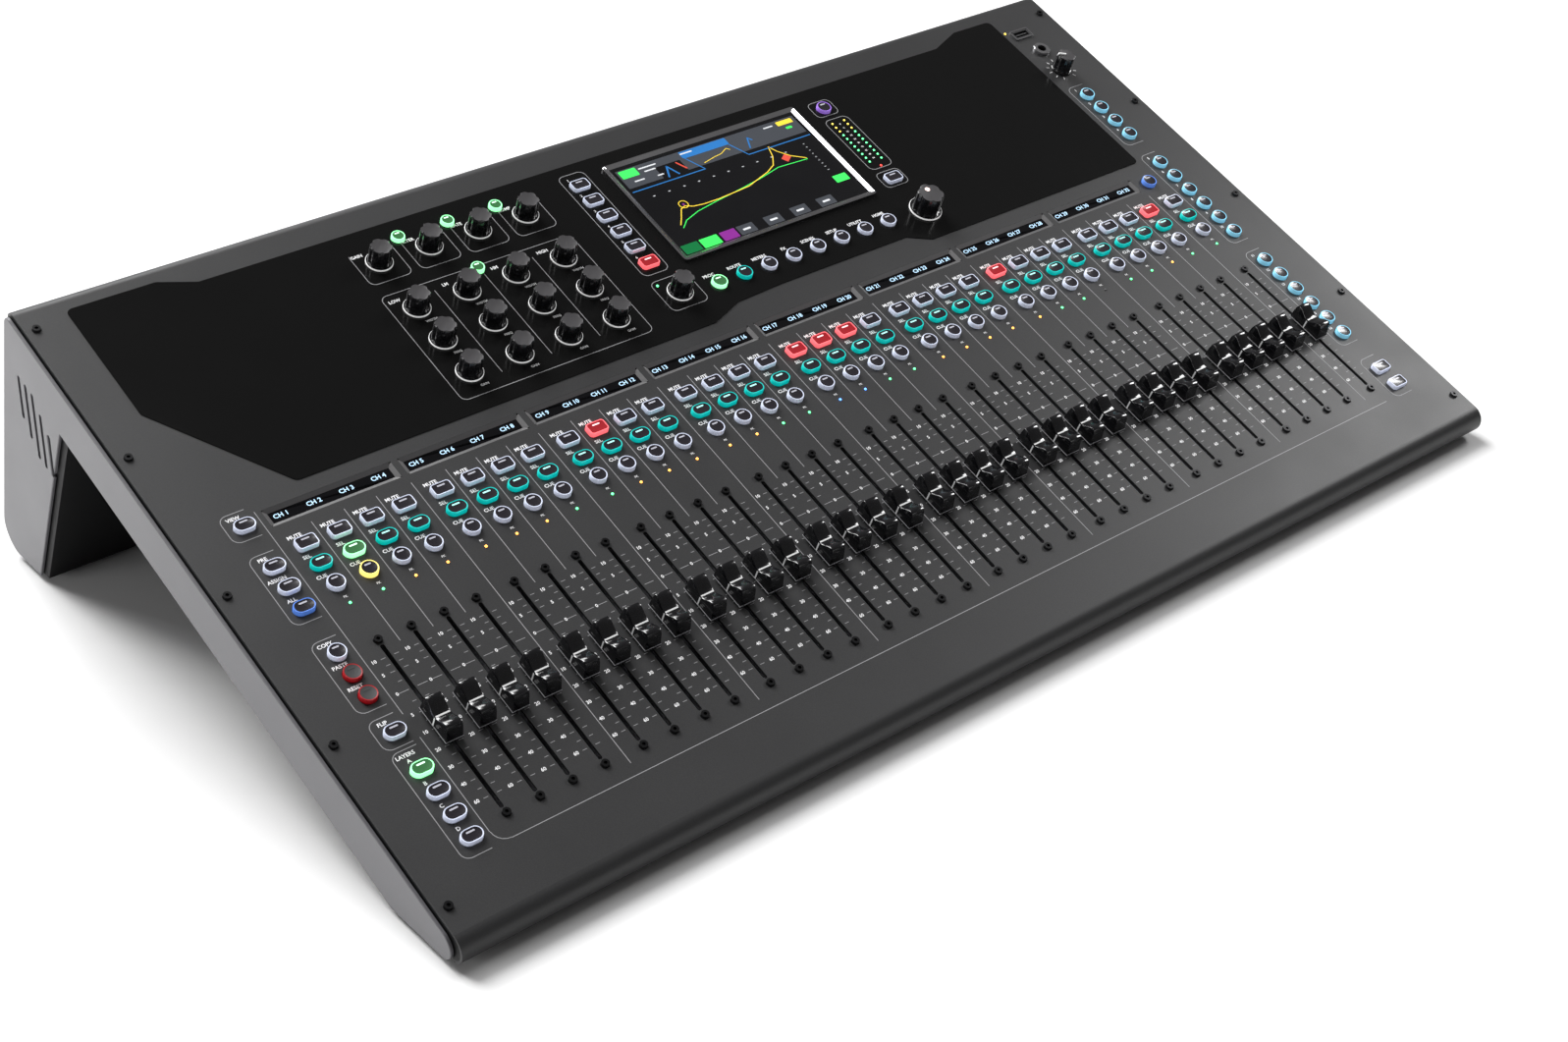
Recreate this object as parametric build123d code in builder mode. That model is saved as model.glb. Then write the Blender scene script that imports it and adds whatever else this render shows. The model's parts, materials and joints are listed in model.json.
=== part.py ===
from build123d import *
import os
from math import cos, radians, sin

os.makedirs("parts", exist_ok=True)

# ---------------------------------------------------------------- driving dimensions (mm)
DECK_WIDTH = 791.0          # folded top skin, end to end
CHEEK_THICK = 1.8           # outer side plates
CHEEK_GAP = 0.7             # air gap between a side plate and the chassis end wall
DECK_TILT = 22.0            # slope of the control deck
REAR_LEAN = 2.1             # rear face against the deck's normal
SHEET = 1.5                 # steel sheet
FOOT_HEIGHT = 3.5
SOLE_DROP = 80.5            # deck origin above the shell's sole, square to the floor

LIP_Y = -166.0              # where the deck turns into the round front lip
LIP_RADIUS = 9.5
REAR_Y = 284.1              # where the deck turns into the rear edge
REAR_RADIUS = 8.2
SLAB_DEPTH = 37.7           # thickness of the thin front slab
LEG_TOP_Y = 219.5           # front face of the rear leg, under the slab and at the sole
LEG_SOLE_Y = 243.5
HEEL_RADIUS = 16.0
SKIN_SPLIT = 20.0           # the top skin ends this far under the deck
SKIN_GAP = 0.3

FADER_COUNT = 33
BANK_SIZE = 4
FADER_PITCH = 20.0
BANK_GAP = 4.2              # extra space between banks of four
FADER_TRAVEL = 100.0
FADER_SCREWS = 120.6        # distance between a fader's two screws
FADER_SLOT = (2.6, 113.8)

KEY_PITCH = 15.1
KEY_HEIGHT = 2.8            # key top above the deck
KEY_DEPTH = 4.0             # key foot below the deck
KEY_CLEAR = 0.35
KEY_LONG = (12.5, 8.3)      # oblong keys, across and along the deck
KEY_ROUND = 10.2
KEY_SMALL = 8.4
KEY_CORNER = 2.0

FASCIA_THICK = 0.4
SCREEN_SIZE = (158.2, 92.6)
SCREEN_CENTRE = (62.4, 209.4)

# ---------------------------------------------------------------- places on the deck
TILT_SIN = sin(radians(DECK_TILT))
TILT_COS = cos(radians(DECK_TILT))
DECK_ORIGIN = (0.0, -93.45, SOLE_DROP + FOOT_HEIGHT)
DECK = Plane(origin=DECK_ORIGIN, x_dir=(1, 0, 0), z_dir=(0, -TILT_SIN, TILT_COS))

FIRST_FADER_X = -335.8
FADER_X = [
    FIRST_FADER_X + index * FADER_PITCH + (index // BANK_SIZE) * BANK_GAP
    for index in range(FADER_COUNT)
]
FADER_MID_Y = -FADER_SCREWS / 2

MUTE_Y = 71.8
SELECT_Y = MUTE_Y - KEY_PITCH
CUE_Y = SELECT_Y - KEY_PITCH
COLUMN_X = 358.6            # key columns at both ends of the deck
WINDOW_SIZE = (80.0, 12.6)
WINDOW_Y = 96.0

KNOB_COLUMNS = [-189.3 + 34.8 * index for index in range(4)]
DYNAMICS_Y = 239.5
EQ_ROWS = [197.6 - 28.35 * index for index in range(3)]
PAN_PLACE = (-35.2, 143.3)
ENCODER_PLACE = (163.6, 138.2)
PHONES_KNOB_PLACE = (360.4, 214.3)
JACK_PLACE = (360.4, 236.6)
USB_PLACE = (358.0, 256.4)


def column(x, top_y, count):
    """Key centres in a column, going down the deck."""
    return [(x, top_y - KEY_PITCH * index) for index in range(count)]


MUTE_PLACES = [(x, MUTE_Y) for x in FADER_X]
SELECT_PLACES = [(x, SELECT_Y) for x in FADER_X]
CUE_PLACES = [(x, CUE_Y) for x in FADER_X]
OBLONG_PLACES = (
    column(-COLUMN_X, 96.2, 1)
    + column(-COLUMN_X, 65.2, 3)
    + column(-COLUMN_X, -53.5, 1)
    + column(-COLUMN_X, -78.9, 4)
)
SOFT_PLACES = column(-38.2, 247.8, 6) + [(162.8, 171.4)]
SQUARE_PLACES = column(COLUMN_X, -110.5, 2) + SOFT_PLACES
BELOW_SCREEN_PLACES = [(-7.3 + 19.95 * index, 139.7) for index in range(8)]
METER_KEY_PLACE = (162.4, 246.8)
ROUND_PLACES = (
    column(-COLUMN_X, 2.2, 3)
    + column(COLUMN_X, 184.2, 4)
    + column(COLUMN_X, 106.6, 6)
    + column(COLUMN_X, 0.3, 6)
    + BELOW_SCREEN_PLACES
    + [(335.4, 94.5), METER_KEY_PLACE]
)
SMALL_PLACES = [(-168.0 + 34.8 * index, 253.2) for index in range(3)] + [(-138.3, 211.2)]

EDGE_SCREW_X = 389.2
EDGE_SCREWS = [(side * EDGE_SCREW_X, 270.2 - 105.4 * row) for side in (-1, 1) for row in range(5)]
FADER_SCREW_PLACES = [(x, -FADER_SCREWS * end) for x in FADER_X for end in (0, 1)]


def side_plane(x):
    """A plane square to X: its x runs up the deck and its y stands out of the deck."""
    return Plane(origin=(x, DECK_ORIGIN[1], DECK_ORIGIN[2]), x_dir=(0, TILT_COS, TILT_SIN), z_dir=(1, 0, 0))


def sole_z(y):
    """Height over the deck plane of the flat sole, for a place along the deck."""
    return -(SOLE_DROP + TILT_SIN * y) / TILT_COS


def rear_y(z):
    """Place along the deck of the leaning rear face, at a height over the deck plane."""
    lean = radians(REAR_LEAN)
    return REAR_Y + REAR_RADIUS / cos(lean) - (z + REAR_RADIUS) * sin(lean) / cos(lean)


def save(piece, name):
    """Label a finished sub-part and write its STEP file."""
    piece.part.label = name
    export_step(piece.part, f"parts/{name}.step")


# ---------------------------------------------------------------- outline of the chassis
HEEL_CORNER_Z = -206.9
HEEL_CORNER = (rear_y(HEEL_CORNER_Z), HEEL_CORNER_Z)
SLAB_BEND_Y = -(SOLE_DROP - TILT_COS * SLAB_DEPTH) / TILT_SIN


with BuildSketch() as chassis_outline:
    with BuildLine():
        lip = CenterArc((LIP_Y, -LIP_RADIUS), LIP_RADIUS, 90, 180 - DECK_TILT)
        rear = CenterArc((REAR_Y, -REAR_RADIUS), REAR_RADIUS, 90, REAR_LEAN - 90)
        Line(lip @ 0, rear @ 0)
        Polyline(
            rear @ 1,
            HEEL_CORNER,
            (LEG_SOLE_Y, sole_z(LEG_SOLE_Y)),
            (LEG_TOP_Y, -SLAB_DEPTH),
            (SLAB_BEND_Y, -SLAB_DEPTH),
            lip @ 1,
        )
    make_face()
    fillet(chassis_outline.vertices().sort_by(Axis.Y)[0], radius=HEEL_RADIUS)

with BuildSketch() as skin_ring:
    add(chassis_outline.sketch)
    offset(chassis_outline.sketch, amount=-SHEET, kind=Kind.INTERSECTION, mode=Mode.SUBTRACT)

with BuildSketch() as end_wall_outline:
    offset(chassis_outline.sketch, amount=-SHEET, kind=Kind.INTERSECTION)


# ---------------------------------------------------------------- shared profiles
def oblong(size, places, grow=0.0):
    with Locations(*places):
        SlotOverall(size[0] + 2 * grow, size[1] + 2 * grow)


def rounded(size, places, grow=0.0, corner=KEY_CORNER):
    with Locations(*places):
        RectangleRounded(size[0] + 2 * grow, size[1] + 2 * grow, corner + grow)


def discs(diameter, places, grow=0.0):
    with Locations(*places):
        Circle(diameter / 2 + grow)


def key_holes():
    """All key openings, a running gap wider than the keys."""
    rounded(KEY_LONG, MUTE_PLACES + SQUARE_PLACES, KEY_CLEAR)
    oblong(KEY_LONG, SELECT_PLACES + OBLONG_PLACES, KEY_CLEAR)
    discs(KEY_ROUND, CUE_PLACES + ROUND_PLACES, KEY_CLEAR)
    discs(KEY_SMALL, SMALL_PLACES, KEY_CLEAR)


KNOB_PLACES = (
    [(x, DYNAMICS_Y) for x in KNOB_COLUMNS]
    + [(x, y) for x in KNOB_COLUMNS for y in EQ_ROWS]
    + [PAN_PLACE, ENCODER_PLACE, PHONES_KNOB_PLACE]
)
SHAFT_DIAMETER = 6.0
SHAFT_CLEAR = 0.6
USB_HOLE = (13.4, 6.0)
JACK_BARREL = 9.0
SCREEN_HOLE = (150.0, 86.0)
SCREW_CLEAR = 1.7


# ---------------------------------------------------------------- top panel
with BuildPart() as top_panel:
    with BuildSketch(side_plane(-DECK_WIDTH / 2)):
        add(skin_ring.sketch)
        with Locations((REAR_Y / 2, -SKIN_SPLIT - 150)):
            Rectangle(700, 300, mode=Mode.SUBTRACT)
    extrude(amount=DECK_WIDTH)
    with BuildSketch(DECK.offset(1)):
        key_holes()
        discs(SHAFT_DIAMETER, KNOB_PLACES, SHAFT_CLEAR)
        discs(2 * SCREW_CLEAR, EDGE_SCREWS + FADER_SCREW_PLACES)
        discs(JACK_BARREL, [JACK_PLACE], 0.1)
        rounded(USB_HOLE, [USB_PLACE], 0.2, corner=0.5)
        rounded(SCREEN_HOLE, [SCREEN_CENTRE], 0.3, corner=1.0)
        with Locations(*[(x, FADER_MID_Y) for x in FADER_X]):
            SlotOverall(FADER_SLOT[1], FADER_SLOT[0], rotation=90)
        for bank in range(FADER_COUNT // BANK_SIZE):
            first = FADER_X[bank * BANK_SIZE]
            with Locations((first + 1.5 * FADER_PITCH, WINDOW_Y)):
                RectangleRounded(WINDOW_SIZE[0], WINDOW_SIZE[1], 0.8)
    extrude(amount=-2 * SHEET, mode=Mode.SUBTRACT)
save(top_panel, "top_panel")

# ---------------------------------------------------------------- gloss fascia overlay
with BuildPart() as gloss_fascia:
    with BuildSketch(DECK):
        with BuildLine():
            Polyline(
                (-369.0, 277.0), (-314.0, 277.0), (-292.0, 267.6), (284.0, 267.6), (309.0, 277.0), (343.6, 277.0),
                (343.6, 113.6), (150.0, 113.6), (134.0, 122.6), (30.0, 122.6), (-6.0, 121.0), (-30.0, 112.4),
                (-318.0, 112.4), (-369.0, 190.0), (-369.0, 277.0),
            )
        make_face()
        fillet(vertices(), radius=4.0)
    extrude(amount=FASCIA_THICK)
    with BuildSketch(DECK):
        rounded(KEY_LONG, SOFT_PLACES, KEY_CLEAR)
        discs(KEY_ROUND, BELOW_SCREEN_PLACES + [METER_KEY_PLACE], KEY_CLEAR)
        discs(KEY_SMALL, SMALL_PLACES, KEY_CLEAR)
        discs(SHAFT_DIAMETER, KNOB_PLACES[:-1], SHAFT_CLEAR)
        rounded(SCREEN_HOLE, [SCREEN_CENTRE], 0.3, corner=1.0)
    extrude(amount=FASCIA_THICK, mode=Mode.SUBTRACT)
save(gloss_fascia, "gloss_fascia")

# ---------------------------------------------------------------- base tray with end walls and flanges
REAR_PANEL_DROP = 183.0     # the rear panel ends this far under the deck
REAR_PANEL_TOP = SKIN_SPLIT + SKIN_GAP
FLANGE_WIDTH = 12.0
FLANGE_Y = (-158.0, 278.0)

with BuildPart() as base_tray:
    with BuildSketch(side_plane(-DECK_WIDTH / 2)):
        add(skin_ring.sketch)
        with Locations((REAR_Y / 2, 150 - REAR_PANEL_TOP)):
            Rectangle(700, 300, mode=Mode.SUBTRACT)
        with Locations((REAR_Y + 5, -REAR_PANEL_DROP / 2 - SKIN_GAP)):
            Rectangle(40, REAR_PANEL_DROP, mode=Mode.SUBTRACT)
    extrude(amount=DECK_WIDTH)
    for wall_x in (-DECK_WIDTH / 2, DECK_WIDTH / 2 - SHEET):
        with BuildSketch(side_plane(wall_x)):
            add(end_wall_outline.sketch)
        extrude(amount=SHEET)
    with BuildSketch(DECK.offset(-SHEET)):
        for side in (-1, 1):
            with Locations((side * (DECK_WIDTH - FLANGE_WIDTH) / 2, sum(FLANGE_Y) / 2)):
                Rectangle(FLANGE_WIDTH, FLANGE_Y[1] - FLANGE_Y[0])
    extrude(amount=-SHEET)
    with BuildSketch(DECK):
        discs(2 * SCREW_CLEAR, EDGE_SCREWS)
    extrude(amount=-3 * SHEET, mode=Mode.SUBTRACT)
save(base_tray, "base_tray")

# ---------------------------------------------------------------- side cheeks
CHEEK_TOP = 4.0             # cheek edge under the deck
CHEEK_NOSE = 8.5
CHEEK_NOSE_Y = -(SOLE_DROP - CHEEK_NOSE - TILT_COS * (CHEEK_TOP + CHEEK_NOSE)) / TILT_SIN
CHEEK_LEG = 6.2             # the leg edge of the chassis shows in front of the cheek
CHEEK_SKIRT = 0.4
CHEEK_X = DECK_WIDTH / 2 + CHEEK_GAP
VENT_PLACES = [(272.0 - 9.0 * index, -52.0 - 3.6 * index) for index in range(5)]
VENT_SLOT = (46.0, 3.2)
VENT_MIDDLE_Y = 254.0
VENT_SHRINK = 0.9           # slots away from the middle one are shorter
VENT_TURN = 78.0
BOSS_PLACES = [(-120, -22), (60, -22), (200, -22), (275, -170), (278, -25)]
BOSS_RADIUS = 5.0
CHEEK_CORNER = 6.0
CHEEK_EDGE = 0.7

with BuildSketch() as cheek_outline:
    with BuildLine():
        nose = CenterArc((CHEEK_NOSE_Y, -CHEEK_TOP - CHEEK_NOSE), CHEEK_NOSE, 90, 180 - DECK_TILT)
        rear_top = (rear_y(-CHEEK_TOP) - CHEEK_SKIRT, -CHEEK_TOP)
        Line(nose @ 0, rear_top)
        Polyline(
            rear_top,
            (HEEL_CORNER[0] - CHEEK_SKIRT, HEEL_CORNER[1]),
            (LEG_SOLE_Y + CHEEK_LEG, sole_z(LEG_SOLE_Y + CHEEK_LEG)),
            (LEG_TOP_Y + CHEEK_LEG, -SLAB_DEPTH),
            (SLAB_BEND_Y, -SLAB_DEPTH),
            nose @ 1,
        )
    make_face()
    fillet(cheek_outline.vertices().sort_by(Axis.Y)[0], radius=HEEL_RADIUS)
    fillet(cheek_outline.vertices().sort_by(Axis.X)[-2:].sort_by(Axis.Y)[-1], radius=CHEEK_CORNER)

for side, name in ((-1, "left_cheek"), (1, "right_cheek")):
    inner_x = side * CHEEK_X
    with BuildPart() as cheek:
        with BuildSketch(side_plane(inner_x)):
            add(cheek_outline.sketch)
            for vent_y, vent_z in VENT_PLACES:
                with Locations((vent_y, vent_z)):
                    length = VENT_SLOT[0] - abs(vent_y - VENT_MIDDLE_Y) * VENT_SHRINK
                    SlotOverall(length, VENT_SLOT[1], rotation=VENT_TURN, mode=Mode.SUBTRACT)
        extrude(amount=side * CHEEK_THICK)
        outer_face = cheek.faces().sort_by(Axis.X)[0 if side < 0 else -1]
        fillet(outer_face.outer_wire().edges(), radius=CHEEK_EDGE)
        with BuildSketch(side_plane(inner_x)):
            with Locations(*BOSS_PLACES):
                Circle(BOSS_RADIUS)
        extrude(amount=-side * CHEEK_GAP)
    save(cheek, name)

# ---------------------------------------------------------------- rear panel and its sockets
REAR_FACE_MID = -(REAR_PANEL_TOP + REAR_PANEL_DROP) / 2
REAR_LENGTH = (REAR_PANEL_DROP - REAR_PANEL_TOP - SKIN_GAP) / cos(radians(REAR_LEAN))
REAR_ANGLE = radians(DECK_TILT + REAR_LEAN)
REAR_FACE = Plane(
    origin=side_plane(0).from_local_coords((rear_y(REAR_FACE_MID), REAR_FACE_MID, 0)),
    x_dir=(-1, 0, 0),
    z_dir=(0, cos(REAR_ANGLE), sin(REAR_ANGLE)),
)
XLR_PITCH = (25.0, 36.0)
XLR_FLANGE = (23.0, 30.0)
XLR_BARREL = 20.0
INPUT_PLACES = [(-150 + XLR_PITCH[0] * col, 52 - XLR_PITCH[1] * row) for row in range(2) for col in range(16)]
OUTPUT_PLACES = [(-150 + XLR_PITCH[0] * col, -42) for col in range(12)]
LINE_PLACES = [(170 + 18.0 * col, -42) for col in range(4)]
DATA_PLACES = [(-230, 52), (-230, 22), (-230, -8)]
DATA_SIZE = (20.0, 18.0)
INLET_PLACE = (340, -30)
INLET_SIZE = (28.0, 22.0)
SWITCH_PLACE = (340, 18)
SWITCH_SIZE = (13.0, 20.0)

with BuildPart() as rear_panel:
    with BuildSketch(REAR_FACE):
        Rectangle(DECK_WIDTH, REAR_LENGTH)
        with Locations(*(INPUT_PLACES + OUTPUT_PLACES)):
            Circle(XLR_BARREL / 2 + 0.2, mode=Mode.SUBTRACT)
        with Locations(*LINE_PLACES):
            Circle(JACK_BARREL / 2 + 0.2, mode=Mode.SUBTRACT)
        with Locations(*DATA_PLACES):
            Rectangle(DATA_SIZE[0] + 0.4, DATA_SIZE[1] + 0.4, mode=Mode.SUBTRACT)
        with Locations(INLET_PLACE):
            Rectangle(INLET_SIZE[0] + 0.4, INLET_SIZE[1] + 0.4, mode=Mode.SUBTRACT)
        with Locations(SWITCH_PLACE):
            Rectangle(SWITCH_SIZE[0] + 0.6, SWITCH_SIZE[1] + 0.6, mode=Mode.SUBTRACT)
    extrude(amount=-SHEET)
save(rear_panel, "rear_panel")

PIN_CIRCLE = 4.2
RECESS = 3.8                # every socket mouth is this deep


def stack(plane, size, corner, bottom, top, mode=Mode.ADD):
    """A rounded block on a plane, from one height to another."""
    with BuildSketch(plane.offset(bottom)) as block:
        RectangleRounded(size[0], size[1], corner)
    extrude(block.sketch, amount=top - bottom, mode=mode)


def barrel(plane, diameter, bottom, top, mode=Mode.ADD):
    """A round post or hole on a plane, from one height to another."""
    with BuildSketch(plane.offset(bottom)) as disc:
        Circle(diameter / 2)
    extrude(disc.sketch, amount=top - bottom, mode=mode)


def on(plane, place):
    """The same plane moved to a place on it."""
    return Plane(origin=plane.from_local_coords((place[0], place[1], 0)), x_dir=plane.x_dir, z_dir=plane.z_dir)


def xlr_socket(plane, female):
    """One three-pin socket: flange, barrel behind it and a shallow keyed mouth."""
    with BuildPart() as socket:
        stack(plane, XLR_FLANGE, 3.0, 0, 1.6)
        barrel(plane, XLR_BARREL, -16, 0.1)
        barrel(plane, 18.4, 1.6 - RECESS, 1.6, Mode.SUBTRACT)
        with BuildSketch(plane.offset(1.6 - RECESS)):
            if female:
                Circle(7.0)
            with PolarLocations(PIN_CIRCLE, 3, start_angle=90):
                Circle(1.3, mode=Mode.SUBTRACT if female else Mode.ADD)
        extrude(amount=RECESS - 0.4)
    return socket.part


def jack_socket(plane, depth):
    """A quarter-inch jack: threaded barrel, nut and mouth."""
    with BuildPart() as socket:
        barrel(plane, 11.6, 0, 2.0)
        barrel(plane, JACK_BARREL, -depth, 0.1)
        barrel(plane, 6.4, 2.0 - RECESS, 2.0, Mode.SUBTRACT)
    return socket.part


def box_socket(plane, size, rim, mouth, depth):
    """A rectangular socket: rim on the panel, body through it, mouth with a contact tongue."""
    with BuildPart() as socket:
        stack(plane, (size[0] + 2 * rim, size[1] + 2 * rim), 1.0, 0, 0.9)
        stack(plane, size, 0.5, -depth, 0.1)
        stack(plane, mouth, 0.4, 0.9 - RECESS, 0.9, Mode.SUBTRACT)
        stack(plane, (mouth[0] * 0.8, mouth[1] * 0.25), 0.3, 0.8 - RECESS, 0.4)
    return socket.part


socket_solids = (
    [xlr_socket(on(REAR_FACE, place), True) for place in INPUT_PLACES]
    + [xlr_socket(on(REAR_FACE, place), False) for place in OUTPUT_PLACES]
    + [jack_socket(on(REAR_FACE, place), 20) for place in LINE_PLACES]
    + [box_socket(on(REAR_FACE, place), DATA_SIZE, 1.5, (12.0, 8.0), 18) for place in DATA_PLACES]
    + [
        box_socket(on(REAR_FACE, INLET_PLACE), INLET_SIZE, 2.0, (24.0, 16.0), 22),
        box_socket(on(DECK, USB_PLACE), USB_HOLE, 0.8, (12.6, 5.0), 10),
        jack_socket(on(DECK, JACK_PLACE), 10),
    ]
)

with BuildPart() as sockets:
    add(socket_solids)
save(sockets, "sockets")

# ---------------------------------------------------------------- power switch, a rocker in a hole
SWITCH_PIVOT_DEPTH = 3.0
ROCKER_RADIUS = SWITCH_SIZE[1] / 2
SWITCH_PLANE = on(REAR_FACE, SWITCH_PLACE)
SWITCH_SIDE = Plane(
    origin=SWITCH_PLANE.from_local_coords((-SWITCH_SIZE[0] / 2, 0, -SWITCH_PIVOT_DEPTH)),
    x_dir=SWITCH_PLANE.y_dir,
    z_dir=SWITCH_PLANE.x_dir,
)

with BuildPart() as power_switch:
    with BuildSketch(SWITCH_SIDE):
        with BuildLine():
            back = Polyline((-4.0, -5.0), (4.0, -5.0), (9.4, 2.4), (8.8, 5.6))
            RadiusArc(back @ 1, (-9.4, 3.2), 26)
            Line((-9.4, 3.2), back @ 0)
        make_face()
    extrude(amount=SWITCH_SIZE[0])
save(power_switch, "power_switch")

# ---------------------------------------------------------------- rubber feet
FOOT_DIAMETER = 15.0
FOOT_X = [-350.0, 0.0, 350.0]
FRONT_FOOT_Y = (SLAB_BEND_Y + LIP_Y) / 2
REAR_FOOT_Y = LEG_SOLE_Y + 13


def floor_y(deck_y):
    """World Y of the sole straight over a place along the deck."""
    return DECK_ORIGIN[1] + deck_y * TILT_COS - sole_z(deck_y) * TILT_SIN


with BuildPart() as rubber_feet:
    with BuildSketch(Plane.XY):
        for row_y in (FRONT_FOOT_Y, REAR_FOOT_Y):
            with Locations(*[(x, floor_y(row_y)) for x in FOOT_X]):
                Circle(FOOT_DIAMETER / 2)
    extrude(amount=FOOT_HEIGHT, taper=6)
save(rubber_feet, "rubber_feet")

# ---------------------------------------------------------------- panel screws
SCREW_SHANK = 1.5
SCREW_HEAD = (2.7, 1.5)
SCREW_LENGTH = 6.0

with BuildPart() as panel_screws:
    with BuildSketch(DECK):
        discs(2 * SCREW_HEAD[0], EDGE_SCREWS + FADER_SCREW_PLACES)
    extrude(amount=SCREW_HEAD[1], taper=14)
    with BuildSketch(DECK.offset(SCREW_HEAD[1])):
        with Locations(*(EDGE_SCREWS + FADER_SCREW_PLACES)):
            RegularPolygon(1.1, 6)
    extrude(amount=-1.1, mode=Mode.SUBTRACT)
    with BuildSketch(DECK):
        discs(2 * SCREW_SHANK, EDGE_SCREWS + FADER_SCREW_PLACES)
    extrude(amount=-SCREW_LENGTH)
save(panel_screws, "panel_screws")

# ---------------------------------------------------------------- motor fader units under the deck
HOUSING = (11.4, 128.0, 20.0)       # across, along, deep
HOUSING_WALL = 0.9
HOUSING_TROUGH = 115.8
MOTOR_RADIUS = 6.0
MOTOR_LENGTH = 24.0
MOTOR_Y = FADER_MID_Y - 45
MOTOR_Z = -SHEET - HOUSING[2] - MOTOR_RADIUS + 0.3

with BuildPart() as fader_units:
    with BuildSketch(DECK.offset(-SHEET)):
        with Locations(*[(x, FADER_MID_Y) for x in FADER_X]):
            Rectangle(HOUSING[0], HOUSING[1])
    extrude(amount=-HOUSING[2])
    with BuildSketch(DECK.offset(-SHEET)):
        with Locations(*[(x, FADER_MID_Y) for x in FADER_X]):
            Rectangle(HOUSING[0] - 2 * HOUSING_WALL, HOUSING_TROUGH)
    extrude(amount=HOUSING_WALL - HOUSING[2], mode=Mode.SUBTRACT)
    with BuildSketch(DECK.offset(-SHEET)):
        discs(2 * SCREW_CLEAR, FADER_SCREW_PLACES)
    extrude(amount=-SCREW_LENGTH, mode=Mode.SUBTRACT)
    motor_plane = Plane(
        origin=DECK.from_local_coords((0, MOTOR_Y + MOTOR_LENGTH / 2, MOTOR_Z)),
        x_dir=(1, 0, 0),
        z_dir=-DECK.y_dir,
    )
    with BuildSketch(motor_plane):
        with Locations(*[(x, 0) for x in FADER_X]):
            Circle(MOTOR_RADIUS)
    extrude(amount=MOTOR_LENGTH)
save(fader_units, "fader_units")

# ---------------------------------------------------------------- fader caps with their levers
CAP_WIDTH = 10.7
CAP_FOOT = 2.3              # cap base above the deck
CAP_TOP = 13.4
CAP_SADDLE = 9.0
CAP_HALF = 12.6
CAP_RIDGE = 10.6
LEVER = (1.2, 7.6)
LEVER_TOP = 6.5
CARRIAGE = (8.6, 13.0, 7.0)
CARRIAGE_TOP = -6.0


def fader_slice(x):
    return Plane(origin=DECK.from_local_coords((x, FADER_MID_Y, 0)), x_dir=DECK.y_dir, z_dir=(1, 0, 0))


for number, fader_x in enumerate(FADER_X, start=1):
    with BuildPart() as fader_cap:
        with BuildSketch(fader_slice(fader_x - CAP_WIDTH / 2)):
            with BuildLine():
                sides = Polyline(
                    (-CAP_RIDGE + 1.4, CAP_TOP), (-CAP_RIDGE, CAP_TOP), (-CAP_HALF, CAP_FOOT),
                    (CAP_HALF, CAP_FOOT), (CAP_RIDGE, CAP_TOP), (CAP_RIDGE - 1.4, CAP_TOP),
                )
                ThreePointArc(sides @ 1, (0, CAP_SADDLE), sides @ 0)
            make_face()
        extrude(amount=CAP_WIDTH)
        chamfer(fader_cap.faces().sort_by(Axis.X)[0].edges(), length=0.5)
        chamfer(fader_cap.faces().sort_by(Axis.X)[-1].edges(), length=0.5)
        lever_plane = Plane(origin=DECK.from_local_coords((fader_x, FADER_MID_Y, 0)), x_dir=(1, 0, 0), z_dir=DECK.z_dir)
        stack(lever_plane, LEVER, 0.3, CARRIAGE_TOP - 1, LEVER_TOP)
        stack(lever_plane, CARRIAGE[:2], 0.6, CARRIAGE_TOP - CARRIAGE[2], CARRIAGE_TOP)
    save(fader_cap, f"fader_cap_{number:02d}")

# ---------------------------------------------------------------- knobs
KNOB_FOOT = 13.4            # diameter over the flutes at the skirt
KNOB_HEIGHT = 14.0
KNOB_SKIRT = (16.7, 1.0)
KNOB_GAP = 0.5
KNOB_TAPER = 4.0
FLUTE_RADIUS = 1.7
FLUTES = 6
SHAFT_DROP = 8.0
ENCODER_SCALE = 1.33
ENCODER_HEIGHT = 15.5


def knob(place, seat, scale=1.0, height=KNOB_HEIGHT):
    """A fluted knob on a skirt, with the shaft that it turns on."""
    plane = on(DECK, place)
    foot = seat + KNOB_GAP
    with BuildPart() as turned:
        barrel(plane, KNOB_SKIRT[0] * scale, foot, foot + KNOB_SKIRT[1])
        with BuildSketch(plane.offset(foot + KNOB_SKIRT[1])):
            Circle(KNOB_FOOT * scale / 2)
            with PolarLocations((KNOB_FOOT / 2 + 0.9) * scale, FLUTES):
                Circle(FLUTE_RADIUS * scale, mode=Mode.SUBTRACT)
        extrude(amount=height - KNOB_SKIRT[1], taper=KNOB_TAPER)
        barrel(plane, SHAFT_DIAMETER, -SHAFT_DROP, foot + 0.1)
    return turned


for index, name in enumerate(("preamp_knob", "filter_knob", "gate_knob", "comp_knob")):
    save(knob((KNOB_COLUMNS[index], DYNAMICS_Y), FASCIA_THICK), name)
save(knob(PAN_PLACE, FASCIA_THICK), "pan_knob")
save(knob(ENCODER_PLACE, FASCIA_THICK, ENCODER_SCALE, ENCODER_HEIGHT), "main_encoder")
save(knob(PHONES_KNOB_PLACE, 0.0), "phones_knob")

eq_solids = [knob((x, y), FASCIA_THICK).part for x in KNOB_COLUMNS for y in EQ_ROWS]
with BuildPart() as eq_knobs:
    add(eq_solids)
save(eq_knobs, "eq_knobs")


# ---------------------------------------------------------------- keys
def press_out():
    """Raise key outlines from their feet to their tops."""
    extrude(amount=KEY_DEPTH + KEY_HEIGHT)


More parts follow.
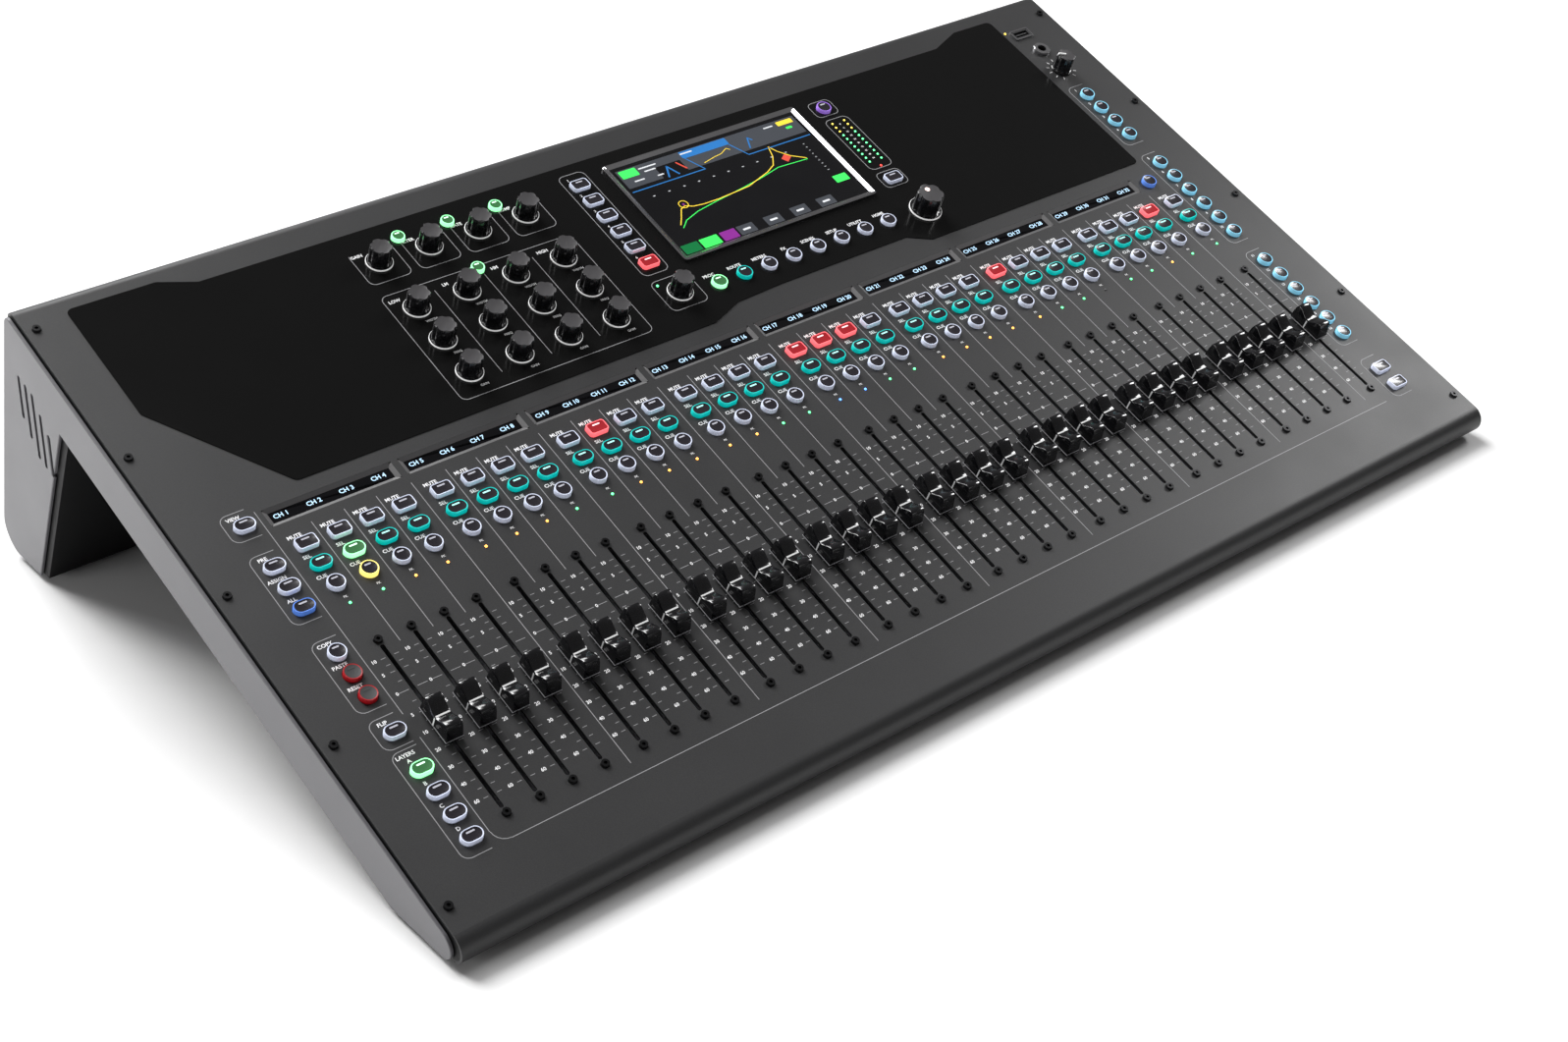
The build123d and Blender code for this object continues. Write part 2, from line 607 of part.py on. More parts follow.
with BuildPart() as mute_keys:
    with BuildSketch(DECK.offset(-KEY_DEPTH)):
        rounded(KEY_LONG, MUTE_PLACES)
    press_out()
save(mute_keys, "mute_keys")

with BuildPart() as select_keys:
    with BuildSketch(DECK.offset(-KEY_DEPTH)):
        oblong(KEY_LONG, SELECT_PLACES)
    press_out()
save(select_keys, "select_keys")

with BuildPart() as cue_keys:
    with BuildSketch(DECK.offset(-KEY_DEPTH)):
        discs(KEY_ROUND, CUE_PLACES)
    press_out()
save(cue_keys, "cue_keys")

with BuildPart() as function_keys:
    with BuildSketch(DECK.offset(-KEY_DEPTH)):
        rounded(KEY_LONG, SQUARE_PLACES)
        oblong(KEY_LONG, OBLONG_PLACES)
        discs(KEY_ROUND, ROUND_PLACES)
        discs(KEY_SMALL, SMALL_PLACES)
    press_out()
save(function_keys, "function_keys")

# ---------------------------------------------------------------- displays
DISPLAY_PLATE = (82.0, 16.0, 1.5)
BEZEL_TOP = 3.0
BEZEL_TAPER = 35.0
GLASS_SIZE = (152.6, 86.4)
GLASS_TOP = 2.5
PANEL_BODY = (149.0, 85.0)
PANEL_DROP = 9.0

with BuildPart() as strip_displays:
    with BuildSketch(DECK.offset(-SHEET)):
        for bank in range(FADER_COUNT // BANK_SIZE):
            with Locations((FADER_X[bank * BANK_SIZE] + 1.5 * FADER_PITCH, WINDOW_Y)):
                Rectangle(DISPLAY_PLATE[0], DISPLAY_PLATE[1])
    extrude(amount=-DISPLAY_PLATE[2])
save(strip_displays, "strip_displays")

SCREEN_PLANE = on(DECK, SCREEN_CENTRE)

with BuildPart() as touchscreen:
    with BuildSketch(SCREEN_PLANE.offset(FASCIA_THICK)):
        RectangleRounded(SCREEN_SIZE[0], SCREEN_SIZE[1], 2.5)
    extrude(amount=BEZEL_TOP - FASCIA_THICK, taper=BEZEL_TAPER)
    stack(SCREEN_PLANE, (GLASS_SIZE[0] + 0.4, GLASS_SIZE[1] + 0.4), 1.2, 0, BEZEL_TOP + 1, Mode.SUBTRACT)
    stack(SCREEN_PLANE, GLASS_SIZE, 1.0, FASCIA_THICK, GLASS_TOP)
    stack(SCREEN_PLANE, PANEL_BODY, 1.0, -PANEL_DROP, FASCIA_THICK + 0.1)
save(touchscreen, "touchscreen")

# ---------------------------------------------------------------- circuit boards
BOARD = 1.6
CONTROL_BOARD_TOP = -12.0
KEY_BOARD_TOP = -8.0
ENCODER_CAN = (12.0, 3.8)
CONTROL_POSTS = [(-320, 130), (-250, 262), (-60, 262), (-60, 128), (240, 128), (210, 262), (300, 262)]
KEY_POSTS = [(FADER_X[BANK_SIZE * bank - 1] + 12.1, SELECT_Y) for bank in (1, 3, 5, 7)]
COLUMN_POSTS = [(-COLUMN_X, 80.0), (-COLUMN_X, -40.5), (COLUMN_X, 122.5), (COLUMN_X, -93.0)]
CHIP_PLACES = [(-60, 165), (0, 170), (60, 160), (120, 172)]
CHIP_SIZE = (24.0, 2.5)
CONTROL_BOARD = (736.0, 158.0)
CONTROL_BOARD_PLACE = (0, 192)
KEY_BOARD = (690.0, 56.0)
KEY_BOARD_PLACE = (0, 57)
LEFT_BOARD = (15.0, 236.0)
LEFT_BOARD_PLACE = (-COLUMN_X, -14)
RIGHT_BOARD = (15.0, 244.0)
RIGHT_BOARD_PLACE = (COLUMN_X, -12)
MAIN_BOARD = (260.0, 76.0)
MAIN_BOARD_PLACE = (30, 166)
MAIN_POSTS = [(-90, 135), (-90, 197), (150, 135), (150, 197)]
POST_DIAMETER = 5.0
THIN_POST_DIAMETER = 4.0
STANDOFF = 4.0              # main board above the slab's floor
FLOOR_TOP = SHEET - SLAB_DEPTH

with BuildPart() as circuit_boards:
    with BuildSketch(DECK.offset(CONTROL_BOARD_TOP)):
        with Locations(CONTROL_BOARD_PLACE):
            Rectangle(CONTROL_BOARD[0], CONTROL_BOARD[1])
    extrude(amount=-BOARD)
    with BuildSketch(DECK.offset(CONTROL_BOARD_TOP)):
        with Locations(*KNOB_PLACES):
            Rectangle(ENCODER_CAN[0], ENCODER_CAN[0])
    extrude(amount=ENCODER_CAN[1])
    with BuildSketch(DECK.offset(KEY_BOARD_TOP)):
        with Locations(KEY_BOARD_PLACE):
            Rectangle(KEY_BOARD[0], KEY_BOARD[1])
        with Locations(LEFT_BOARD_PLACE):
            Rectangle(LEFT_BOARD[0], LEFT_BOARD[1])
        with Locations(RIGHT_BOARD_PLACE):
            Rectangle(RIGHT_BOARD[0], RIGHT_BOARD[1])
    extrude(amount=-BOARD)
    with BuildSketch(DECK.offset(-SHEET)):
        discs(POST_DIAMETER, CONTROL_POSTS)
    extrude(amount=CONTROL_BOARD_TOP + SHEET)
    with BuildSketch(DECK.offset(-SHEET)):
        discs(THIN_POST_DIAMETER, KEY_POSTS + COLUMN_POSTS)
    extrude(amount=KEY_BOARD_TOP + SHEET)
    with BuildSketch(DECK.offset(FLOOR_TOP + STANDOFF)):
        with Locations(MAIN_BOARD_PLACE):
            Rectangle(MAIN_BOARD[0], MAIN_BOARD[1])
    extrude(amount=BOARD)
    with BuildSketch(DECK.offset(FLOOR_TOP + STANDOFF + BOARD)):
        with Locations(*CHIP_PLACES):
            Rectangle(CHIP_SIZE[0], CHIP_SIZE[0])
    extrude(amount=CHIP_SIZE[1])
    with BuildSketch(DECK.offset(FLOOR_TOP)):
        discs(POST_DIAMETER, MAIN_POSTS)
    extrude(amount=STANDOFF)
save(circuit_boards, "circuit_boards")

# ---------------------------------------------------------------- power supply on the rear panel
SUPPLY_PLACE = (283, 0)
SUPPLY_SIZE = (76.0, 104.0, 32.0)

with BuildPart() as power_supply:
    stack(on(REAR_FACE, SUPPLY_PLACE), SUPPLY_SIZE[:2], 2.0, -SHEET - SUPPLY_SIZE[2], -SHEET)
save(power_supply, "power_supply")
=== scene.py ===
"""Looks of a digital mixing console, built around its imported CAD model."""

import json
from math import cos, pi, radians, sin

import bmesh
import bpy
from mathutils import Matrix, Vector


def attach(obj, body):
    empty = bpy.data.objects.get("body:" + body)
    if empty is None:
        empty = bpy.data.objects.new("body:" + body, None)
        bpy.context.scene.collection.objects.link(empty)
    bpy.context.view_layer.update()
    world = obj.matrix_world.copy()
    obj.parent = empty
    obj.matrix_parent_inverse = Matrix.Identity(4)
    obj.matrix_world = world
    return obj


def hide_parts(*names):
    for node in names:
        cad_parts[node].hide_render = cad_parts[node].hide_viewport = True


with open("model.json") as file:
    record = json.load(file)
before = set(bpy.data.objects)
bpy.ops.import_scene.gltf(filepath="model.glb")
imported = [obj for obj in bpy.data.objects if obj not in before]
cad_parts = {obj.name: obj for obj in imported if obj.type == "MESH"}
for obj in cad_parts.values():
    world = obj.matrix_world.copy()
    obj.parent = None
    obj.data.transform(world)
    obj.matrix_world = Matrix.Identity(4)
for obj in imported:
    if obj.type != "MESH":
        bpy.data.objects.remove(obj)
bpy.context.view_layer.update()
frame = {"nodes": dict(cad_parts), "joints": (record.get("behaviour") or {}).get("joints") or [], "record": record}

bl_info = {
    "name": "Mixing Console",
    "version": (1, 0, 0),
    "blender": (4, 5, 0),
    "location": "View3D > Sidebar > Console",
    "description": "Finishes, keys, knobs, displays and printing of a mixing console",
    "category": "Object",
}

# ---------------------------------------------------------------- places on the sloping deck
MM = 0.001
JOINTS = {joint["name"]: joint for joint in frame["joints"]}
BODY = "console"
UP = Vector(JOINTS["fader_slide_01"]["axis"])
OUT = Vector(JOINTS["main_encoder_turn"]["axis"])
ACROSS = UP.cross(OUT)
DECK_TURN = Matrix((ACROSS, UP, OUT)).transposed().to_4x4()
ENCODER_PLACE = (163.6, 138.2)
DECK_ORIGIN = Vector(JOINTS["main_encoder_turn"]["pos_m"]) - (
    ACROSS * ENCODER_PLACE[0] + UP * ENCODER_PLACE[1]
) * MM

INLET = next(mount for mount in frame["record"]["mounts"] if mount["name"] == "mains_inlet")
INLET_PLACE = (340.0, -30.0)
REAR_OUT = Vector(INLET["axis"])
REAR_ACROSS = Vector((-1.0, 0.0, 0.0))
REAR_UP = REAR_OUT.cross(REAR_ACROSS)
REAR_ORIGIN = Vector(INLET["pos_m"]) - (
    REAR_ACROSS * INLET_PLACE[0] + REAR_UP * INLET_PLACE[1]
) * MM

FADER_COUNT = 33
BANK_SIZE = 4
FIRST_FADER_X = -335.8
FADER_PITCH = 20.0
BANK_GAP = 4.2
FADER_X = [
    FIRST_FADER_X + FADER_PITCH * index + BANK_GAP * (index // BANK_SIZE)
    for index in range(FADER_COUNT)
]
FADER_MID_Y = -60.3
MUTE_Y, SELECT_Y, CUE_Y = 71.8, 56.7, 41.6
PEAK_Y = 27.4
KEY_PITCH = 15.1
COLUMN_X = 358.6
WINDOW_SIZE = (80.0, 12.6)
WINDOW_Y = 96.0
WINDOW_X = [FADER_X[bank * BANK_SIZE] + 30.0 for bank in range(FADER_COUNT // BANK_SIZE)]
KNOB_PITCH = 34.8
KNOB_COLUMNS = [-189.3 + KNOB_PITCH * index for index in range(4)]
DYNAMICS_Y = 239.5
EQ_ROWS = [197.6 - 28.35 * index for index in range(3)]
KNOB_SEAT = 0.45
PHONES_PLACE = (360.4, 214.3)
PAN_PLACE = (-35.2, 143.3)
PHONES_SOCKET = (360.4, 236.6)
USB_SOCKET = (358.0, 256.4)
USB_FRAME = (17.0, 9.4)
FASCIA_TOP = 0.4
SCREEN_CENTRE = (62.4, 209.4)
SCREEN_SIZE = (158.2, 92.6)
SCREEN_KEYS_X = -38.2
PAGE_KEYS_X = -7.3
PAGE_KEYS_Y = 139.7
PAGE_KEY_PITCH = 19.95
METER_X = (158.4, 168.8)
METER_TOP_Y = 231.7
METER_PITCH = 4.07


def on_deck(x, y, z=0.0, turn=0.0):
    """Matrix that carries a shape drawn in millimetres to a place on the deck."""
    spot = DECK_ORIGIN + (ACROSS * x + UP * y + OUT * z) * MM
    return (
        Matrix.Translation(spot) @ DECK_TURN @ Matrix.Rotation(turn, 4, "Z") @ Matrix.Scale(MM, 4)
    )


def on_rear(x, y, z=0.0):
    """Matrix that carries a shape drawn in millimetres to a place on the rear panel."""
    spot = REAR_ORIGIN + (REAR_ACROSS * x + REAR_UP * y + REAR_OUT * z) * MM
    turn = Matrix((REAR_ACROSS, REAR_UP, REAR_OUT)).transposed().to_4x4()
    return Matrix.Translation(spot) @ turn @ Matrix.Scale(MM, 4)


def column(x, top_y, count):
    """Key centres in a column, going down the deck."""
    return [(x, top_y - KEY_PITCH * index) for index in range(count)]


RIGHT_KEYS = column(COLUMN_X, 184.2, 4) + column(COLUMN_X, 106.6, 6) + column(COLUMN_X, 0.3, 6)
SCREEN_KEYS = column(SCREEN_KEYS_X, 247.8, 6)


# ---------------------------------------------------------------- settings a user would change
class ConsoleSizes(bpy.types.PropertyGroup):
    line: bpy.props.FloatProperty(
        name="Printed line", description="Width of the printed lines", default=0.45 * MM,
        unit="LENGTH", precision=5,
    )
    digit: bpy.props.FloatProperty(
        name="Digit height", description="Height of the fader scale digits", default=2.1 * MM,
        unit="LENGTH", precision=5,
    )
    caption: bpy.props.FloatProperty(
        name="Caption height", description="Height of the key captions", default=2.3 * MM,
        unit="LENGTH", precision=5,
    )
    flutes: bpy.props.IntProperty(
        name="Knob lobes", description="Lobes round each knob", default=6, min=3, max=12
    )


class ConsoleColours(bpy.types.PropertyGroup):
    deck: bpy.props.FloatVectorProperty(
        name="Deck", description="Powder coat of the deck", subtype="COLOR", size=3,
        default=(0.03, 0.03, 0.031), min=0.0, max=1.0,
    )
    cheek: bpy.props.FloatVectorProperty(
        name="Cheeks", description="Powder coat of the side cheeks", subtype="COLOR", size=3,
        default=(0.105, 0.103, 0.112), min=0.0, max=1.0,
    )
    print_ink: bpy.props.FloatVectorProperty(
        name="Print", description="Printed captions and digits", subtype="COLOR", size=3,
        default=(0.92, 0.92, 0.94), min=0.0, max=1.0,
    )
    # Unlit key ring colour, lightened past the rings' own tone as painted light on their shaded front walls.
    ring: bpy.props.FloatVectorProperty(
        name="Key rings", description="Unlit light rings round the keys", subtype="COLOR", size=3,
        default=(0.7, 0.75, 0.93), min=0.0, max=1.0,
    )
    lamp: bpy.props.FloatProperty(
        name="Lamp strength", description="Brightness of lit keys and lamps", default=1.0, min=0.0
    )


# ---------------------------------------------------------------- finishes
def finish(name, colour, roughness, metallic=0.0, mottle=0.1, grain=1400.0, relief=0.05, wear=0.05,
           glow=0.0, coat=0.0, shine=0.5):
    """A procedural finish: fine grain in colour and height, and slow changes of gloss."""
    material = bpy.data.materials.new(name)
    material.use_nodes = True
    nodes, links = material.node_tree.nodes, material.node_tree.links
    surface = nodes["Principled BSDF"]
    place = nodes.new("ShaderNodeTexCoord")
    fine = nodes.new("ShaderNodeTexNoise")
    fine.inputs["Scale"].default_value = grain
    fine.inputs["Detail"].default_value = 2.0
    broad = nodes.new("ShaderNodeTexNoise")
    broad.inputs["Scale"].default_value = 22.0
    tint = nodes.new("ShaderNodeMix")
    tint.data_type = "RGBA"
    tint.inputs[6].default_value = [channel * (1 - mottle) for channel in colour] + [1.0]
    tint.inputs[7].default_value = [min(1.0, channel * (1 + mottle)) for channel in colour] + [1.0]
    gloss = nodes.new("ShaderNodeMapRange")
    gloss.inputs["To Min"].default_value = max(0.02, roughness - wear)
    gloss.inputs["To Max"].default_value = min(1.0, roughness + wear)
    height = nodes.new("ShaderNodeBump")
    height.inputs["Strength"].default_value = relief
    height.inputs["Distance"].default_value = 0.15 * MM
    for noise in (fine, broad):
        links.new(place.outputs["Object"], noise.inputs["Vector"])
    links.new(fine.outputs["Fac"], tint.inputs["Factor"])
    links.new(broad.outputs["Fac"], gloss.inputs["Value"])
    links.new(fine.outputs["Fac"], height.inputs["Height"])
    links.new(tint.outputs[2], surface.inputs["Base Color"])
    links.new(gloss.outputs["Result"], surface.inputs["Roughness"])
    links.new(height.outputs["Normal"], surface.inputs["Normal"])
    surface.inputs["Metallic"].default_value = metallic
    surface.inputs["Specular IOR Level"].default_value = shine
    surface.inputs["Coat Weight"].default_value = coat
    surface.inputs["Coat Roughness"].default_value = 0.05
    if glow:
        surface.inputs["Emission Color"].default_value = [*colour, 1.0]
        surface.inputs["Emission Strength"].default_value = glow
    return material


FINISHES = {}


def mix_finishes(colours):
    """Make every finish once, from the colours in the settings."""
    lamp = colours.lamp

    def mix(name, *values, **details):
        FINISHES[name] = finish(name, *values, **details)

    def mix_lit(name, colour, strength):
        mix(name, colour, 0.3, relief=0.0, glow=lamp * strength)

    # Every key ring glows; on the unlit rings this glow is painted light, as they are no lamps.
    def mix_ring(name, colour, strength, coat=0.0):
        mix(name, colour, 0.3, relief=0.02, glow=lamp * strength, coat=coat)

    mix("deck_paint", colours.deck, 0.42, mottle=0.25, relief=0.22, shine=0.35)
    mix("fascia_gloss", (0.006, 0.006, 0.006), 0.15, relief=0.0, wear=0.03, shine=0.18)
    # Chassis coat: black paint, taken near black as painted shade so the underside stays dark where shade falls
    # under the slab.
    mix("chassis_black_and_painted_shade", (0.004, 0.004, 0.0045), 0.5, mottle=0.25, relief=0.2, shine=0.2)
    mix("cheek_paint", colours.cheek, 0.38, mottle=0.08, relief=0.2, coat=0.15)
    mix("rubber", (0.012, 0.012, 0.012), 0.8, relief=0.3)
    mix("black_oxide", (0.02, 0.02, 0.021), 0.35, metallic=0.9)
    mix("zinc", (0.55, 0.55, 0.57), 0.4, metallic=1.0, mottle=0.15, grain=300.0)
    mix("board_mask", (0.01, 0.09, 0.03), 0.35, mottle=0.3, grain=120.0)
    mix("socket_black", (0.02, 0.02, 0.022), 0.5, relief=0.15)
    mix("cap_gloss", (0.005, 0.005, 0.006), 0.16, relief=0.0, coat=0.6)
    # Light grey base rim of the fader caps: partly a light flange, partly a painted highlight on its chamfer.
    mix("cap_edge_painted_highlight", (0.4, 0.4, 0.42), 0.25, relief=0.0)
    mix("pointer_white", (0.85, 0.85, 0.85), 0.35, relief=0.02)
    mix("lever_steel", (0.3, 0.3, 0.31), 0.35, metallic=1.0)
    mix("knob_gloss", (0.006, 0.006, 0.007), 0.22, relief=0.0, coat=0.3)
    mix("knob_top", (0.035, 0.033, 0.036), 0.5, relief=0.2)
    # White skirt ring that glows though it is no lamp: a painted highlight along the skirt's top edge.
    mix("skirt_white_painted_glow", (0.85, 0.85, 0.85), 0.25, relief=0.0, glow=lamp * 0.35)
    mix("key_cap", (0.018, 0.016, 0.021), 0.22, relief=0.0, coat=0.25)
    mix("key_cap_dull", (0.05, 0.05, 0.052), 0.35, relief=0.03)
    mix("key_bar", (0.55, 0.55, 0.62), 0.3, relief=0.0)
    # The unlit pale rings glow though they are no lamps: painted light on their shaded front walls.
    mix_ring("ring_pale_painted_glow", colours.ring, 0.2, coat=0.3)
    # Teal rings glow as lit rings, raised further as painted light on their shaded front walls.
    mix_ring("ring_teal_lit_and_painted_glow", (0.0, 0.5, 0.46), 0.5)
    mix_ring("ring_cyan", (0.24, 0.6, 0.8), 0.4)
    mix_ring("ring_blue", (0.1, 0.24, 0.75), 0.3)
    mix_ring("ring_purple", (0.36, 0.18, 0.78), 0.3)
    mix_ring("ring_red", (0.4, 0.005, 0.01), 0.05)
    mix_lit("lit_green", (0.28, 1.0, 0.4), 1.6)
    mix_lit("lit_red", (1.0, 0.14, 0.16), 1.0)
    mix_lit("lit_yellow", (1.0, 0.8, 0.2), 1.0)
    mix("cap_green", (0.03, 0.12, 0.04), 0.25, relief=0.0, glow=lamp * 0.5)
    mix("cap_red", (0.25, 0.01, 0.015), 0.25, relief=0.0, glow=lamp * 0.5)
    mix_lit("bar_green", (0.6, 1.0, 0.7), 1.0)
    mix_lit("bar_red", (1.0, 0.55, 0.58), 1.0)
    mix_lit("bar_teal", (0.45, 0.9, 0.85), 0.5)
    mix_lit("lamp_green", (0.12, 1.0, 0.3), 3)
    mix_lit("lamp_orange", (1.0, 0.42, 0.08), 3)
    mix_lit("lamp_yellow", (1.0, 0.75, 0.1), 2)
    mix_lit("lamp_blue", (0.1, 0.3, 1.0), 3)
    mix_lit("lamp_red", (1.0, 0.05, 0.04), 2)
    mix_lit("lamp_pink", (1.0, 0.72, 0.66), 2)
    mix("lamp_off", (0.12, 0.12, 0.12), 0.3, relief=0.0)
    mix("print_line", (0.3, 0.3, 0.31), 0.5, relief=0.0)
    mix("print_ink", colours.print_ink, 0.5, relief=0.0)
    mix("bevel_paint", (0.085, 0.083, 0.085), 0.4, mottle=0.1, relief=0.15)
    mix("display_black", (0.002, 0.002, 0.003), 0.1, relief=0.0)
    mix("display_text", (0.5, 0.75, 1.0), 0.4, relief=0.0, glow=lamp * 0.5)
    mix("screen_black", (0.003, 0.003, 0.004), 0.24, relief=0.0)
    mix("screen_grey", (0.05, 0.055, 0.065), 0.3, relief=0.0, glow=0.25)
    mix_lit("screen_blue", (0.02, 0.16, 0.45), 0.3)
    mix_lit("screen_green", (0.05, 0.85, 0.12), 0.35)
    mix_lit("screen_dim", (0.0, 0.16, 0.04), 0.2)
    mix_lit("screen_yellow", (0.9, 0.65, 0.05), 0.3)
    mix_lit("screen_red", (0.7, 0.08, 0.05), 0.2)
    mix_lit("screen_purple", (0.22, 0.02, 0.25), 0.3)
    mix_lit("screen_white", (0.7, 0.72, 0.75), 0.25)
    mix("bright_metal", (0.7, 0.7, 0.72), 0.2, metallic=1.0, relief=0.0)
    mix("bezel_chrome", (0.7, 0.7, 0.72), 0.14, metallic=1.0, relief=0.0)


# ---------------------------------------------------------------- shapes, drawn in millimetres
def as_mesh(name, bm, closed=True):
    """Turn a bmesh into a mesh, with its faces outwards if it is a closed shape."""
    if closed:
        bmesh.ops.remove_doubles(bm, verts=bm.verts, dist=0.001)
        bmesh.ops.recalc_face_normals(bm, faces=bm.faces)
    mesh = bpy.data.meshes.new(name)
    bm.to_mesh(mesh)
    bm.free()
    return mesh


def round_face(bm, radius, segments, y=0.0, z=0.0):
    """One round face, looking up."""
    made = bmesh.ops.create_circle(
        bm, cap_ends=True, segments=segments, radius=radius, matrix=Matrix.Translation((0, y, z))
    )
    return made["verts"][0].link_faces[0]


def rounded_face(bm, width, depth, corner, z=0.0, steps=3):
    """One rounded rectangular face, looking up."""
    spread = Matrix.Translation((0, 0, z)) @ Matrix.Diagonal((width, depth, 1.0, 1.0))
    made = bmesh.ops.create_grid(bm, x_segments=1, y_segments=1, size=0.5, matrix=spread)
    if corner:
        bmesh.ops.bevel(
            bm, geom=made["verts"], offset=corner, segments=steps, profile=0.5,
            affect="VERTICES", material=-1,
        )
    return bm.faces[:][-1]


def extrude_face(bm, face, way):
    """Extrude a face along a vector, and return the moved vertices and the new face."""
    made = bmesh.ops.extrude_face_region(bm, geom=[face])["geom"]
    verts = [part for part in made if isinstance(part, bmesh.types.BMVert)]
    bmesh.ops.translate(bm, verts=verts, vec=way)
    return verts, [part for part in made if isinstance(part, bmesh.types.BMFace)][0]


def raise_face(bm, face, height, grow=0.0):
    """Raise a face along Z, with its outline growing or shrinking, and return the new top.

    A lone face stays behind as the bottom. A face on top of a shape leaves no face inside.
    """
    inside = not all(edge.is_boundary for edge in face.edges)
    verts, top = extrude_face(bm, face, (0, 0, height))
    if inside:
        bmesh.ops.delete(bm, geom=[face], context="FACES_ONLY")
    if grow:
        centre = top.calc_center_median()
        size = max((vert.co - centre).length for vert in verts)
        bmesh.ops.scale(
            bm, vec=(1 + grow / size, 1 + grow / size, 1), verts=verts,
            space=Matrix.Translation(-centre),
        )
    return top


def inset(bm, face, thickness, depth=0.0, **details):
    """Inset a face evenly, and sink or lift it by the depth."""
    bmesh.ops.inset_region(
        bm, faces=[face], thickness=thickness, depth=depth, use_even_offset=True, **details
    )


def add_block(bm, size, centre, index):
    """Add a plain block to a shape, with a material number of its own."""
    before = set(bm.faces)
    place = Matrix.Translation(centre) @ Matrix.Diagonal((*size, 1.0))
    bmesh.ops.create_cube(bm, size=1.0, matrix=place)
    for face in set(bm.faces) - before:
        face.material_index = index


def block(width, depth, height, corner=0.0, bottom=0.0):
    """A solid block standing on a height."""
    bm = bmesh.new()
    face = rounded_face(bm, width, depth, corner, bottom)
    raise_face(bm, face, height)
    return as_mesh("block", bm)


def plate(width, depth, corner=0.0):
    """A flat printed patch."""
    bm = bmesh.new()
    rounded_face(bm, width, depth, corner)
    return as_mesh("plate", bm, closed=False)


def outline(width, depth, corner, line, keep=None):
    """A printed rounded outline, whole or only where keep(centre of a face) is true."""
    bm = bmesh.new()
    face = rounded_face(bm, width, depth, corner, steps=5)
    inset(bm, face, line, use_boundary=True)
    bmesh.ops.delete(bm, geom=[face], context="FACES_ONLY")
    if keep:
        lost = [side for side in bm.faces if not keep(side.calc_center_median())]
        bmesh.ops.delete(bm, geom=lost, context="FACES")
    return as_mesh("outline", bm, closed=False)


def key_shape(kind, width, depth):
    """A key: light ring (0), smoked cap (1) and bright bar (2), from under the deck to its top."""
    bm = bmesh.new()
    bottom, top = -1.2, 2.8
    if kind == "round":
        face = round_face(bm, width / 2, 20, z=bottom)
    else:
        corner = 2.0 if kind == "square" else depth * 0.49
        face = rounded_face(bm, width, depth, corner, bottom, steps=4)
    shoulder = raise_face(bm, face, top - bottom - 0.4)
    crown = raise_face(bm, shoulder, 0.4, grow=-0.25)
    inset(bm, crown, 0.5, -0.12)
    bmesh.ops.recalc_face_normals(bm, faces=bm.faces)
    crown.material_index = 1
    bar = rounded_face(bm, width * 0.4, 1.0, 0.35, top + 0.02, steps=1)
    bar.material_index = 2
    for vert in bar.verts:
        vert.co.y += depth * 0.2
    return as_mesh("key", bm, closed=False)


LOBE_DIP = 0.13


def knob_shape(foot, skirt, height, lobes, dot=False, pointer=False):
    """A lobed knob: skirt ring (0), gloss body (1), top (2) and a dot or pointer (3)."""
    bm = bmesh.new()
    face = raise_face(bm, round_face(bm, skirt / 2, lobes * 10), 0.75)
    face = raise_face(bm, face, 0.25, grow=-0.3)
    skirt_faces = set(bm.faces) - {face}
    inset(bm, face, (skirt - foot) / 2 - 0.6)
    face = raise_face(bm, face, 0.3)
    for vert in face.verts:
        angle = Vector((1, 0)).angle_signed(vert.co.xy.normalized(), 0.0)
        dip = 0.5 + 0.5 * cos(lobes * angle)
        vert.co.xy *= 1.0 - LOBE_DIP * dip ** 2
    for rise, shrink in ((height * 0.45, 0.0), (height * 0.42, 0.15), (0.6, 0.5)):
        face = raise_face(bm, face, rise, grow=-shrink)
    body = set(bm.faces) - skirt_faces - {face}
    inset(bm, face, 0.5, -0.15)
    for side in bm.faces:
        side.material_index = 0 if side in skirt_faces else 1 if side in body else 2
    bmesh.ops.recalc_face_normals(bm, faces=bm.faces)
    if dot:
        top = face.calc_center_median().z + 0.03
        round_face(bm, 1.7, 16, foot * 0.22, top).material_index = 3
    if pointer:
        size = (1.0, foot * 0.42, height + 0.3)
        add_block(bm, size, (0, foot * 0.27, height * 0.5 + 1.0), 3)
    return as_mesh("knob", bm, closed=False)


